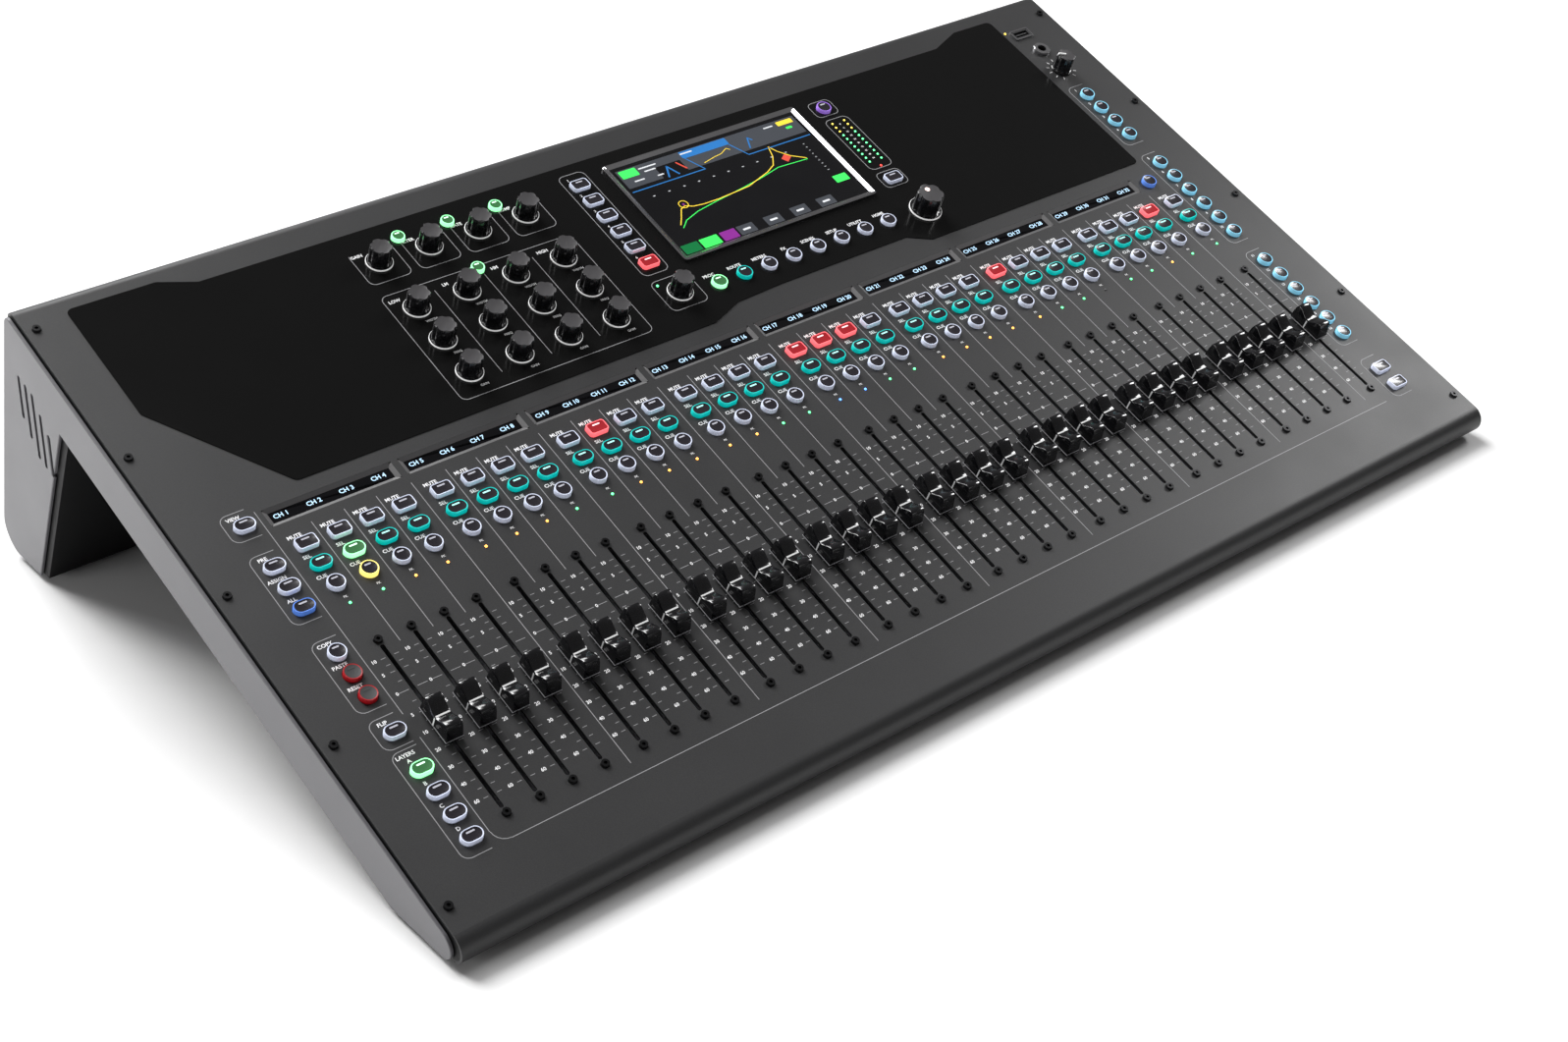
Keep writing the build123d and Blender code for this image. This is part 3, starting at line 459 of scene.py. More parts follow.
def cap_shape():
    """A fader cap: gloss body (0), light base edge with a painted highlight (1), pointer line (2) and steel lever
    (3).
    """
    bm = bmesh.new()
    half_base, half_top, foot, top = 5.15, 4.55, 2.6, 13.35
    dip = [(9.6 * step / 7, 9.0 + 4.3 * (0.5 - 0.5 * cos(pi * step / 7))) for step in range(8)]
    rise = dip + [(10.5, 12.9), (11.1, 11.6), (12.35, foot)]
    profile = [(-y, z) for y, z in reversed(rise)] + rise[1:]
    side = bm.faces.new([bm.verts.new((-half_base, y, z)) for y, z in profile])
    extrude_face(bm, side, (2 * half_base, 0, 0))
    for vert in bm.verts:
        lift = (vert.co.z - foot) / (top - foot)
        vert.co.x *= 1 - lift * (1 - half_top / half_base)
    bmesh.ops.recalc_face_normals(bm, faces=bm.faces)
    flanks = [face for face in bm.faces if len(face.verts) > 8]
    rims = [
        edge for face in flanks for edge in face.edges if min(v.co.z for v in edge.verts) > 5
    ]
    bmesh.ops.bevel(
        bm, geom=rims, offset=0.55, segments=2, profile=0.5, affect="EDGES", material=-1
    )
    # Thin base rim, in the light finish that paints the flange's highlight.
    add_block(bm, (10.7, 25.2, 0.35), (0, 0, 2.45), 1)
    before = set(bm.faces)
    band = [(-5.2, 2.5), (-4.85, 8.3), (-4.2, 9.1), (4.2, 9.1), (4.85, 8.3), (5.2, 2.5)]
    strip = bm.faces.new([bm.verts.new((x, -0.5, z)) for x, z in band])
    extrude_face(bm, strip, (0, 1.0, 0))
    line = [face for face in bm.faces if face not in before]
    bmesh.ops.recalc_face_normals(bm, faces=line)
    for face in line:
        face.material_index = 2
    add_block(bm, (1.2, 7.6, 9.3), (0, 0, -2.15), 3)
    add_block(bm, (8.6, 13.0, 7.0), (0, 0, -9.5), 0)
    return as_mesh("cap", bm, closed=False)


def open_middle(bm, bottom, middle):
    """Cut a hole through a raised shape, from its sunk middle to its bottom."""
    bmesh.ops.delete(bm, geom=[bottom, middle], context="FACES_ONLY")
    rims = [edge for edge in bm.edges if edge.is_boundary]
    bmesh.ops.bridge_loops(bm, edges=rims)


def collar_shape(outer, inner, height):
    """A round metal collar standing on a panel."""
    bm = bmesh.new()
    bottom = round_face(bm, outer, 24)
    face = raise_face(bm, bottom, height - 0.2)
    face = raise_face(bm, face, 0.2, grow=-0.2)
    inset(bm, face, outer - inner - 0.2)
    face = raise_face(bm, face, -height)
    open_middle(bm, bottom, face)
    return as_mesh("collar", bm)


def pin_shape(radius, height):
    """A contact pin with a rounded tip."""
    bm = bmesh.new()
    face = raise_face(bm, round_face(bm, radius, 12), height - 0.5)
    raise_face(bm, face, 0.5, grow=-0.5)
    return as_mesh("pin", bm)


def frame_shape(width, depth, line, height):
    """A rectangular metal frame standing on the deck."""
    bm = bmesh.new()
    bottom = rounded_face(bm, width, depth, 1.0)
    face = raise_face(bm, bottom, height)
    inset(bm, face, line)
    face = raise_face(bm, face, -height)
    open_middle(bm, bottom, face)
    return as_mesh("frame", bm)


def dome_shape(radius, height):
    """A small round lamp lens."""
    bm = bmesh.new()
    bmesh.ops.create_uvsphere(bm, u_segments=10, v_segments=6, radius=radius)
    bmesh.ops.scale(bm, vec=(1, 1, height / radius), verts=bm.verts)
    return as_mesh("dome", bm)


LETTERS = {}


def lettering(text, height):
    """Plain digits or words as a flat mesh, centred on the origin."""
    if (text, height) not in LETTERS:
        curve = bpy.data.curves.new("lettering", "FONT")
        curve.body = text
        curve.size = height / 0.7
        curve.align_x = "CENTER"
        curve.align_y = "CENTER"
        curve.resolution_u = 2
        curve.offset = height * 0.035
        holder = bpy.data.objects.new("lettering", curve)
        bpy.context.scene.collection.objects.link(holder)
        graph = bpy.context.evaluated_depsgraph_get()
        mesh = bpy.data.meshes.new_from_object(holder.evaluated_get(graph))
        bpy.data.objects.remove(holder)
        bpy.data.curves.remove(curve)
        mesh.materials.clear()
        LETTERS[text, height] = mesh
    return LETTERS[text, height]


class Piece:
    """A mesh gathered from placed copies of small shapes, each with its own finishes."""

    def __init__(self, name):
        self.name = name
        self.bm = bmesh.new()
        self.finishes = []

    def add(self, shape, place, *finishes):
        """Add a copy of a shape. Its material numbers pick from the finishes given."""
        copy = shape.copy()
        copy.transform(place)
        first = len(self.bm.faces)
        self.bm.from_mesh(copy)
        bpy.data.meshes.remove(copy)
        for finish_name in finishes:
            if finish_name not in self.finishes:
                self.finishes.append(finish_name)
        self.bm.faces.ensure_lookup_table()
        for face in self.bm.faces[first:]:
            wanted = finishes[min(face.material_index, len(finishes) - 1)]
            face.material_index = self.finishes.index(wanted)

    def done(self, body, slot, *replaced, smooth=35.0):
        """Make the object, let it ride its body and stand for the CAD nodes it replaces."""
        mesh = bpy.data.meshes.new(self.name)
        self.bm.to_mesh(mesh)
        self.bm.free()
        for finish_name in self.finishes:
            mesh.materials.append(FINISHES[finish_name])
        mesh.shade_smooth()
        mesh.set_sharp_from_angle(angle=radians(smooth))
        piece = bpy.data.objects.new(self.name, mesh)
        bpy.context.scene.collection.objects.link(piece)
        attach(piece, body)
        if replaced:
            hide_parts(*replaced)
        return piece


# ---------------------------------------------------------------- operators
class CONSOLE_OT_finish_metalwork(bpy.types.Operator):
    """Give the carried-over sheet metal, sockets and inner parts their finishes"""

    bl_idname = "console.finish_metalwork"
    bl_label = "Finish the Metalwork"

    def execute(self, context):
        mix_finishes(context.scene.console_colours)
        coats = {
            "top_panel": "deck_paint",
            "gloss_fascia": "fascia_gloss",
            "base_tray": "chassis_black_and_painted_shade",
            "rear_panel": "chassis_black_and_painted_shade",
            "left_cheek": "cheek_paint",
            "right_cheek": "cheek_paint",
            "rubber_feet": "rubber",
            "panel_screws": "black_oxide",
            "sockets": "socket_black",
            "power_switch": "socket_black",
            "fader_units": "zinc",
            "power_supply": "zinc",
            "circuit_boards": "board_mask",
        }
        for node, coat in coats.items():
            mesh = frame["nodes"][node].data
            mesh.materials.clear()
            mesh.materials.append(FINISHES[coat])
        return {"FINISHED"}


class CONSOLE_OT_fader_caps(bpy.types.Operator):
    """Model the gloss fader caps with their pointer lines"""

    bl_idname = "console.fader_caps"
    bl_label = "Fader Caps"

    def execute(self, context):
        shape = cap_shape()
        for number, x in enumerate(FADER_X, start=1):
            node = f"fader_cap_{number:02d}"
            cap = Piece(f"cap_{number:02d}")
            cap.add(
                shape, on_deck(x, FADER_MID_Y),
                "cap_gloss", "cap_edge_painted_highlight", "pointer_white", "lever_steel",
            )
            cap.done(node, "black_plastic", node)
        bpy.data.meshes.remove(shape)
        return {"FINISHED"}


class CONSOLE_OT_knobs(bpy.types.Operator):
    """Model the lobed knobs with their white skirts, brightened by a painted glow"""

    bl_idname = "console.knobs"
    bl_label = "Knobs"

    def execute(self, context):
        lobes = context.scene.console_sizes.flutes
        plain = knob_shape(13.4, 16.7, 12.6, lobes)
        looks = ("skirt_white_painted_glow", "knob_gloss", "knob_top")
        seat = FASCIA_TOP + KNOB_SEAT
        nodes = ("preamp_knob", "filter_knob", "gate_knob", "comp_knob", "pan_knob")
        places = [(x, DYNAMICS_Y) for x in KNOB_COLUMNS] + [PAN_PLACE]
        for node, place in zip(nodes, places):
            knob = Piece(f"{node}_body")
            knob.add(plain, on_deck(*place, seat), *looks)
            knob.done(node, "knob_plastic", node)
        equaliser = Piece("equaliser_knobs")
        for x in KNOB_COLUMNS:
            for y in EQ_ROWS:
                equaliser.add(plain, on_deck(x, y, seat), *looks)
        equaliser.done(BODY, "knob_plastic", "eq_knobs")
        encoder = Piece("main_encoder_body")
        encoder.add(
            knob_shape(17.8, 22.2, 14.2, lobes, dot=True), on_deck(*ENCODER_PLACE, seat),
            *looks, "lamp_pink",
        )
        encoder.done("main_encoder", "knob_plastic", "main_encoder")
        phones = Piece("phones_knob_body")
        phones.add(
            knob_shape(13.2, 15.4, 12.4, lobes, pointer=True),
            on_deck(*PHONES_PLACE, KNOB_SEAT, radians(60)),
            "knob_gloss", "knob_gloss", "knob_top", "pointer_white",
        )
        phones.done("phones_knob", "knob_plastic", "phones_knob")
        return {"FINISHED"}


RED_MUTES = (10, 17, 18, 19, 25, 32)
LIT_SELECT = 2
LIT_CUE = 2


class CONSOLE_OT_keys(bpy.types.Operator):
    """Model the key families, each with a light ring, a smoked cap and a bright bar"""

    bl_idname = "console.keys"
    bl_label = "Keys"

    def execute(self, context):
        square = key_shape("square", 12.5, 8.3)
        oblong = key_shape("oblong", 12.5, 8.3)
        disc = key_shape("round", 10.2, 10.2)
        small = key_shape("round", 8.4, 8.4)
        pale = ("ring_pale_painted_glow", "key_cap", "key_bar")
        dull_red = ("ring_red", "key_cap_dull", "key_cap_dull")
        green = ("lit_green", "cap_green", "bar_green")
        red = ("lit_red", "cap_red", "bar_red")
        teal = ("ring_teal_lit_and_painted_glow", "key_cap", "bar_teal")
        mute = Piece("mute_key_set")
        select = Piece("select_key_set")
        cue = Piece("cue_key_set")
        for number, x in enumerate(FADER_X, start=1):
            lit = number in RED_MUTES
            mute.add(square, on_deck(x, MUTE_Y), *(red if lit else pale))
            select.add(oblong, on_deck(x, SELECT_Y), *(green if number == LIT_SELECT else teal))
            ring = "lit_yellow" if number == LIT_CUE else "ring_pale_painted_glow"
            cue.add(disc, on_deck(x, CUE_Y), ring, "key_cap", "key_bar")
        mute.done("mute_keys", "key_plastic", "mute_keys")
        select.done("select_keys", "key_plastic", "select_keys")
        cue.done("cue_keys", "key_plastic", "cue_keys")

        rest = Piece("function_key_set")
        lefts = (96.2, 65.2, 65.2 - KEY_PITCH, 65.2 - 2 * KEY_PITCH, -53.5)
        for index, y in enumerate(lefts):
            ring = "ring_blue" if index == 3 else "ring_pale_painted_glow"
            rest.add(oblong, on_deck(-COLUMN_X, y), ring, "key_cap", "key_bar")
        for index, place in enumerate(column(-COLUMN_X, -78.9, 4)):
            rest.add(oblong, on_deck(*place), *(pale if index else green))
        for index, place in enumerate(column(-COLUMN_X, 2.2, 3)):
            rest.add(disc, on_deck(*place), *(dull_red if index else pale))
        for place in RIGHT_KEYS:
            rest.add(disc, on_deck(*place), "ring_cyan", "key_cap", "key_bar")
        rest.add(disc, on_deck(335.4, 94.5), "ring_blue", "key_cap", "key_bar")
        rest.add(disc, on_deck(162.4, 246.8), "ring_purple", "key_cap", "key_bar")
        for place in column(COLUMN_X, -110.5, 2) + [(162.8, 171.4)]:
            rest.add(square, on_deck(*place), *pale)
        for place in SCREEN_KEYS:
            rest.add(square, on_deck(*place), *(red if place == SCREEN_KEYS[-1] else pale))
        for index in range(len(PAGE_CAPTIONS)):
            look = {0: green, 1: teal}.get(index, pale)
            rest.add(disc, on_deck(PAGE_KEYS_X + PAGE_KEY_PITCH * index, PAGE_KEYS_Y), *look)
        small_keys = [(-168.0 + KNOB_PITCH * index, 253.2) for index in range(3)]
        for place in small_keys + [(-138.3, 211.2)]:
            rest.add(small, on_deck(*place), *green)
        rest.done("function_keys", "key_plastic", "function_keys")
        for shape in (square, oblong, disc, small):
            bpy.data.meshes.remove(shape)
        return {"FINISHED"}


class CONSOLE_OT_strip_displays(bpy.types.Operator):
    """Model the channel name displays, sunk in sloping frames"""

    bl_idname = "console.strip_displays"
    bl_label = "Channel Displays"

    def execute(self, context):
        displays = Piece("channel_displays")
        bm = bmesh.new()
        face = rounded_face(bm, WINDOW_SIZE[0], WINDOW_SIZE[1], 0.8, z=-0.05, steps=2)
        inset(bm, face, 2.6, -1.4, use_boundary=True)
        face.material_index = 1
        window = as_mesh("window", bm, closed=False)
        body = block(82.0, 16.0, 1.45, bottom=-3.0)
        for bank, x in enumerate(WINDOW_X):
            displays.add(body, on_deck(x, WINDOW_Y), "socket_black")
            displays.add(window, on_deck(x, WINDOW_Y), "bevel_paint", "display_black")
            for place in range(BANK_SIZE):
                number = bank * BANK_SIZE + place + 1
                displays.add(
                    lettering(f"CH {number}", 2.9),
                    on_deck(FADER_X[number - 1] - 1.0, WINDOW_Y + 0.2, -1.38), "display_text",
                )
        displays.done(BODY, "display_glass", "strip_displays", smooth=20.0)
        return {"FINISHED"}


SCREEN_WALL = 2.0
SCREEN_ROUND = 0.45
SCREEN_SINK = 1.3
SCREEN_RIM = 3.6
CURVE_POINTS = [
    (-62, -18), (-58, -13), (-53, -6), (-49, -4.5), (-44, -7), (-36, -8), (-24, -8), (-10, -7),
    (2, -6), (12, -3), (22, 0), (30, 4), (35, 11), (38, 20), (41, 14), (47, 7), (56, 1),
]
TARGET_POINTS = [
    (-62, -21), (-56, -16), (-44, -12), (-26, -9), (-4, -6), (14, -3), (32, 1), (56, 0),
]
SCREEN_WORDS = [
    (-50, 36, 14), (-50, 32.5, 9), (-62, 27, 8), (-46, 26, 5), (-18, 37, 10), (50, 36, 8),
]


class CONSOLE_OT_touchscreen(bpy.types.Operator):
    """Model the touchscreen: bright bezel, black glass and a generic equaliser page"""

    bl_idname = "console.touchscreen"
    bl_label = "Touchscreen"

    def execute(self, context):
        screen = Piece("touchscreen_unit")
        x0, y0 = SCREEN_CENTRE
        bm = bmesh.new()
        face = rounded_face(bm, SCREEN_SIZE[0], SCREEN_SIZE[1], 2.5, z=FASCIA_TOP)
        face = raise_face(bm, face, SCREEN_WALL)
        inset(bm, face, 0.5, SCREEN_ROUND)
        inset(bm, face, 0.6)
        inset(bm, face, 2.6, -SCREEN_SINK)
        bmesh.ops.delete(bm, geom=[face], context="FACES_ONLY")
        bezel = as_mesh("bezel", bm, closed=False)
        screen.add(bezel, on_deck(x0, y0), "bezel_chrome")
        screen.add(block(149.0, 85.0, 9.3, 1.0, bottom=-9.0), on_deck(x0, y0), "socket_black")
        level = FASCIA_TOP + SCREEN_WALL + SCREEN_ROUND - SCREEN_SINK + 0.04

        def patch(x, y, width, depth, finish_name, corner=0.6, lift=0.0, turn=0.0):
            place = on_deck(x0 + x, y0 + y, level + lift, turn)
            screen.add(plate(width, depth, corner), place, finish_name)

        def trace(points, width, finish_name, lift):
            for start, end in zip(points, points[1:]):
                along = Vector(end) - Vector(start)
                middle = (Vector(start) + Vector(end)) / 2
                turn = Vector((1, 0)).angle_signed(along, 0.0)
                patch(*middle, along.length + width * 0.6, width, finish_name, 0, lift, -turn)

        glass = [side - 2 * SCREEN_RIM for side in SCREEN_SIZE]
        patch(0, 0, *glass, "screen_black", lift=-0.025)
        patch(0, 31, 146, 17, "screen_grey")
        patch(-65, 35, 13, 7, "screen_green", lift=0.02)
        patch(64, 36, 13, 4, "screen_yellow", lift=0.02)
        patch(64, 30.5, 5, 2, "screen_green", lift=0.02)
        tab = [(-73, 19), (-15, 19), (-22, 33), (14, 33), (21, 19), (73, 19)]
        trace(tab, 0.8, "screen_blue", 0.05)
        patch(-4, 36, 38, 6, "screen_blue", lift=0.03)
        trace([(-12, 24), (-3, 26), (4, 27), (10, 30), (12, 28)], 0.5, "screen_yellow", 0.06)
        patch(-36, 27, 20, 12, "screen_black", lift=0.04)
        trace([(-42, 22), (-38, 31), (-34, 22)], 1.2, "screen_blue", 0.06)
        patch(-28, 28, 1.2, 9, "screen_red", lift=0.06, turn=0.5)
        trace([(26, 24), (30, 33), (32, 30)], 1.0, "screen_blue", 0.06)
        trace(TARGET_POINTS, 0.6, "screen_green", 0.04)
        trace(CURVE_POINTS, 0.7, "screen_yellow", 0.05)
        patch(43, 6.5, 6, 5, "screen_red", lift=0.03, turn=0.6)
        patch(-49, -3, 1.8, 1.8, "screen_purple", 0.9, 0.07)
        screen.add(outline(7, 7, 3.4, 0.6), on_deck(x0 - 49, y0 - 3, level + 0.06), "screen_yellow")
        patch(-68, -38, 13, 8, "screen_dim")
        patch(-53, -38, 14, 8, "screen_green")
        patch(-38, -38, 12, 8, "screen_purple")
        patch(66, -24, 11, 6.5, "screen_green")
        for index in range(4):
            patch(-24 + 22 * index, -38, 13, 8, "screen_grey")
            patch(-24 + 22 * index, -38, 6, 1.6, "screen_white", lift=0.03)
        for index in range(9):
            patch(63, 13 - 3.4 * index, 1.6, 0.7, "screen_white")
        for index in range(10):
            patch(-62 + 12 * index, 11, 2.0, 0.8, "screen_white")
        for x, y, width in SCREEN_WORDS:
            patch(x, y, width, 1.1, "screen_white", lift=0.05)
        screen.done(BODY, "screen_glass", "touchscreen", smooth=20.0)
        return {"FINISHED"}


SCALE_MARKS = [
    (-11.6, "10"), (-21.0, "5"), (-34.2, "0"), (-48.8, "5"), (-60.9, "10"), (-72.8, "20"),
    (-84.7, "30"), (-96.4, "40"), (-108.2, "60"),
]
SCALE_TICKS = [-16.3, -27.6, -41.5, -54.8, -66.8, -78.7, -90.5, -102.3]
STRIP_CAPTIONS = ((MUTE_Y, "MUTE", 3.2), (SELECT_Y, "SEL", 4.2), (CUE_Y, "CUE", 4.2))
LEFT_CAPTIONS = [
    (96.2, "VIEW"), (65.2, "PRE"), (50.1, "ASSIGN"), (35.0, "ALL"), (2.2, "COPY"),
    (-12.9, "PASTE"), (-28.0, "RESET"), (-53.5, "FLIP"), (-75.2, "LAYERS"), (-78.9, "A"),
    (-94.0, "B"), (-109.1, "C"), (-124.2, "D"),
]
COLUMN_BRACKETS = [
    (-COLUMN_X, 96.2, 20), (-COLUMN_X, 50.1, 50), (-COLUMN_X, -13, 50), (-COLUMN_X, -53.5, 20),
    (-COLUMN_X, -100.5, 70), (COLUMN_X, 161.5, 66), (COLUMN_X, 68.8, 96), (COLUMN_X, -37.5, 96),
    (COLUMN_X, -118, 36),
]
KNOB_CAPTIONS = ("GAIN", "FILTER", "GATE", "COMP")
BAND_CAPTIONS = ("LOW", "LM", "HM", "HIGH")
EQ_CAPTIONS = ("WIDTH", "FREQ", "GAIN")
PAGE_CAPTIONS = ("PROC", "ROUTE", "METERS", "FX", "SCENES", "SETUP", "UTILITY", "HOME")
CAPTION_RISE = 7.1
INK_Z = 0.05
TICK_LINE = 0.35
EDGE_LINE_X = -349.2
STRIP_TOP_Y = 84.0


def open_right(spot):
    """Keep the left part of a column's bracket, and its two arms."""
    return spot.x < -6.4 or abs(spot.y) > 5 and spot.x < 3


def open_top(spot):
    """Keep a knob's box without its top side, where the caption stands."""
    return spot.y < 6 or abs(spot.x) > 14


class CONSOLE_OT_printing(bpy.types.Operator):
    """Print the lines, fader scales, digits and captions on the deck"""

    bl_idname = "console.printing"
    bl_label = "Printing"

    def execute(self, context):
        sizes = context.scene.console_sizes
        line, digit, caption = sizes.line / MM, sizes.digit / MM, sizes.caption / MM
        lines = Piece("printed_lines")
        words = Piece("printed_captions")
        fascia_z = FASCIA_TOP + INK_Z

        def rule(x1, y1, x2, y2, width=line, z=INK_Z, piece=lines, ink="print_line"):
            along = Vector((x2 - x1, y2 - y1))
            turn = Vector((1, 0)).angle_signed(along, 0.0)
            place = on_deck((x1 + x2) / 2, (y1 + y2) / 2, z, -turn)
            piece.add(plate(along.length, width), place, ink)

        def word(text, height, x, y, z=INK_Z):
            words.add(lettering(text, height), on_deck(x, y, z), "print_ink")

        def box(width, depth, corner, x, y, z=fascia_z, keep=None):
            lines.add(outline(width, depth, corner, line, keep), on_deck(x, y, z), "print_line")

        for index, x in enumerate(FADER_X):
            last = index % BANK_SIZE == BANK_SIZE - 1
            if last:
                rule(x + 12.1, STRIP_TOP_Y, x + 12.1, -126.5)
            elif index < FADER_COUNT - 1:
                rule(x + FADER_PITCH / 2, STRIP_TOP_Y, x + FADER_PITCH / 2, -5.6)
            for y, text in SCALE_MARKS:
                word(text, digit, x - 9.4, y)
                reach = 6.6 if text == "0" else 3.4
                rule(x - 2.0 - reach, y, x - 2.6, y, TICK_LINE)
                rule(x + 2.6, y, x + 2.0 + reach, y, TICK_LINE)
            for y in SCALE_TICKS:
                rule(x - 5.0, y, x - 2.6, y, TICK_LINE)
                rule(x + 2.6, y, x + 5.0, y, TICK_LINE)
            for y, text, back in STRIP_CAPTIONS:
                word(text, caption, x - back, y + CAPTION_RISE)
            word("PK", 1.4, x, PEAK_Y + 4.6)

        rule(EDGE_LINE_X, 103, EDGE_LINE_X, -46)
        rule(EDGE_LINE_X, -62, EDGE_LINE_X, -126)
        rule(EDGE_LINE_X + 8, -134, 339, -134)
        box(16, 16, 7.9, EDGE_LINE_X + 8, -126, 0.0, lambda spot: spot.x < 0 and spot.y < 0)
        for x, y, depth in COLUMN_BRACKETS:
            box(21, depth, 5, x, y + 1, INK_Z, open_right)
        for y, text in LEFT_CAPTIONS:
            word(text, caption, -COLUMN_X - 3.0, y + CAPTION_RISE)
        for index, (x, y) in enumerate(RIGHT_KEYS):
            word(str(index + 1), 2.0, x - 4.6, y + CAPTION_RISE)

        for x, text, band in zip(KNOB_COLUMNS, KNOB_CAPTIONS, BAND_CAPTIONS):
            box(29.0, 30.0, 4.5, x, DYNAMICS_Y - 0.8, keep=open_top)
            word(text, caption, x - 10, DYNAMICS_Y + 9.2, fascia_z)
            word(band, caption, x - 9, EQ_ROWS[0] + 10, fascia_z)
        box(136, 91, 4.5, sum(KNOB_COLUMNS) / len(KNOB_COLUMNS), EQ_ROWS[1] - 1)
        for left in KNOB_COLUMNS[:-1]:
            rule(left + KNOB_PITCH / 2, 206, left + KNOB_PITCH / 2, 133, z=fascia_z)
        for text, y in zip(EQ_CAPTIONS, EQ_ROWS):
            for x in KNOB_COLUMNS:
                word(text, 1.6, x + 3, y - 11.8, fascia_z)
        box(28, 27, 4.5, PAN_PLACE[0], PAN_PLACE[1] + 0.5)
        box(20, 97, 4.5, SCREEN_KEYS_X, 211.3)
        box(20, 53, 4.5, 163.6, 209.6)
        box(19, 15, 4.0, 162.4, 247.2)
        box(20, 15, 4.0, 162.8, 172.0)
        for index, text in enumerate(PAGE_CAPTIONS):
            x = PAGE_KEYS_X - 2.7 + PAGE_KEY_PITCH * index
            word(text, caption, x, PAGE_KEYS_Y + 7.7, fascia_z)
        for index, (x, y) in enumerate(SCREEN_KEYS):
            word(str(index + 1), 1.9, x - 4.2, y + CAPTION_RISE, fascia_z)
        for index in range(11):
            angle = radians(-150 + 30 * index)
            spot, half = Vector(PHONES_PLACE), Vector((sin(angle), cos(angle)))
            inner, outer = spot + half * 9.0, spot + half * 11.4
            rule(*inner, *outer, 0.5, INK_Z, words, "print_ink")
        lines.done(BODY, "deck")
        words.done(BODY, "deck")
        return {"FINISHED"}


SOCKET_PITCH = 25.0
FIRST_SOCKET_X = -150.0
INPUT_ROWS = (52.0, 16.0)
INPUTS_IN_ROW = 16
OUTPUT_ROW = -42.0
OUTPUT_COUNT = 12
JACKS = [(170.0 + 18.0 * number, OUTPUT_ROW) for number in range(4)]
FLANGE_TOP = 1.6
PIN_CIRCLE = 4.2
REAR_GROUPS = (
    (37.5, 32.0, 408, 80, 255.5, "INPUTS"),
    (-12.5, -44.0, 308, 40, -182.0, "OUTPUTS"),
    (197.0, -44.0, 78, 40, 250.0, "LINE"),
)


class CONSOLE_OT_sockets(bpy.types.Operator):
    """Add the bright rings, latches, pins and nuts of the sockets, and the rear panel's printing"""

    bl_idname = "console.sockets"
    bl_label = "Socket Details"

    def execute(self, context):
        trim = Piece("socket_trim")
        words = Piece("rear_printing")
        ring = collar_shape(10.4, 9.2, 0.5)
        latch = block(6.4, 3.2, 0.9, 0.6)
        pin = pin_shape(1.4, 3.2)
        nut = collar_shape(7.0, 3.3, 2.4)

        def word(text, height, x, y):
            words.add(lettering(text, height), on_rear(x, y, INK_Z), "print_ink")

        places = [FIRST_SOCKET_X + SOCKET_PITCH * index for index in range(INPUTS_IN_ROW)]
        inputs = [(x, y) for y in INPUT_ROWS for x in places]
        for number, (x, y) in enumerate(inputs, start=1):
            trim.add(ring, on_rear(x, y, FLANGE_TOP), "bright_metal")
            trim.add(latch, on_rear(x, y + 12.4, FLANGE_TOP), "bright_metal")
            word(str(number), 2.8, x, y - 18.2)
        for number, x in enumerate(places[:OUTPUT_COUNT], start=1):
            trim.add(ring, on_rear(x, OUTPUT_ROW, FLANGE_TOP), "bright_metal")
            for turn in (radians(90), radians(210), radians(330)):
                spot = (x + PIN_CIRCLE * cos(turn), OUTPUT_ROW + PIN_CIRCLE * sin(turn))
                trim.add(pin, on_rear(*spot, FLANGE_TOP - 3.7), "bright_metal")
            word(str(number), 2.8, x, OUTPUT_ROW - 18.2)
        for number, (x, y) in enumerate(JACKS, start=1):
            trim.add(nut, on_rear(x, y), "lever_steel")
            word(str(number), 2.8, x, y - 12.0)
        for x, y, width, depth, title_x, title in REAR_GROUPS:
            words.add(outline(width, depth, 3.0, 0.5), on_rear(x, y, INK_Z), "print_line")
            word(title, 3.4, title_x, y)
        word("POWER", 3.4, 340, 38)
        word("DATA", 3.4, -230, 70)
        trim.add(collar_shape(6.0, 3.3, 2.3), on_deck(*PHONES_SOCKET), "bright_metal")
        trim.add(frame_shape(*USB_FRAME, 1.0, 1.2), on_deck(*USB_SOCKET), "bright_metal")
        for shape in (ring, latch, pin, nut):
            bpy.data.meshes.remove(shape)
        trim.done(BODY, "zinc_steel")
        words.done(BODY, "chassis")
        return {"FINISHED"}


GREEN_PEAKS = (1, 2, 8, 9, 15, 16, 19, 20, 26, 27, 29, 30, 32, 33)
BLUE_PEAKS = (17, 18)
DARK_PEAKS = (28,)


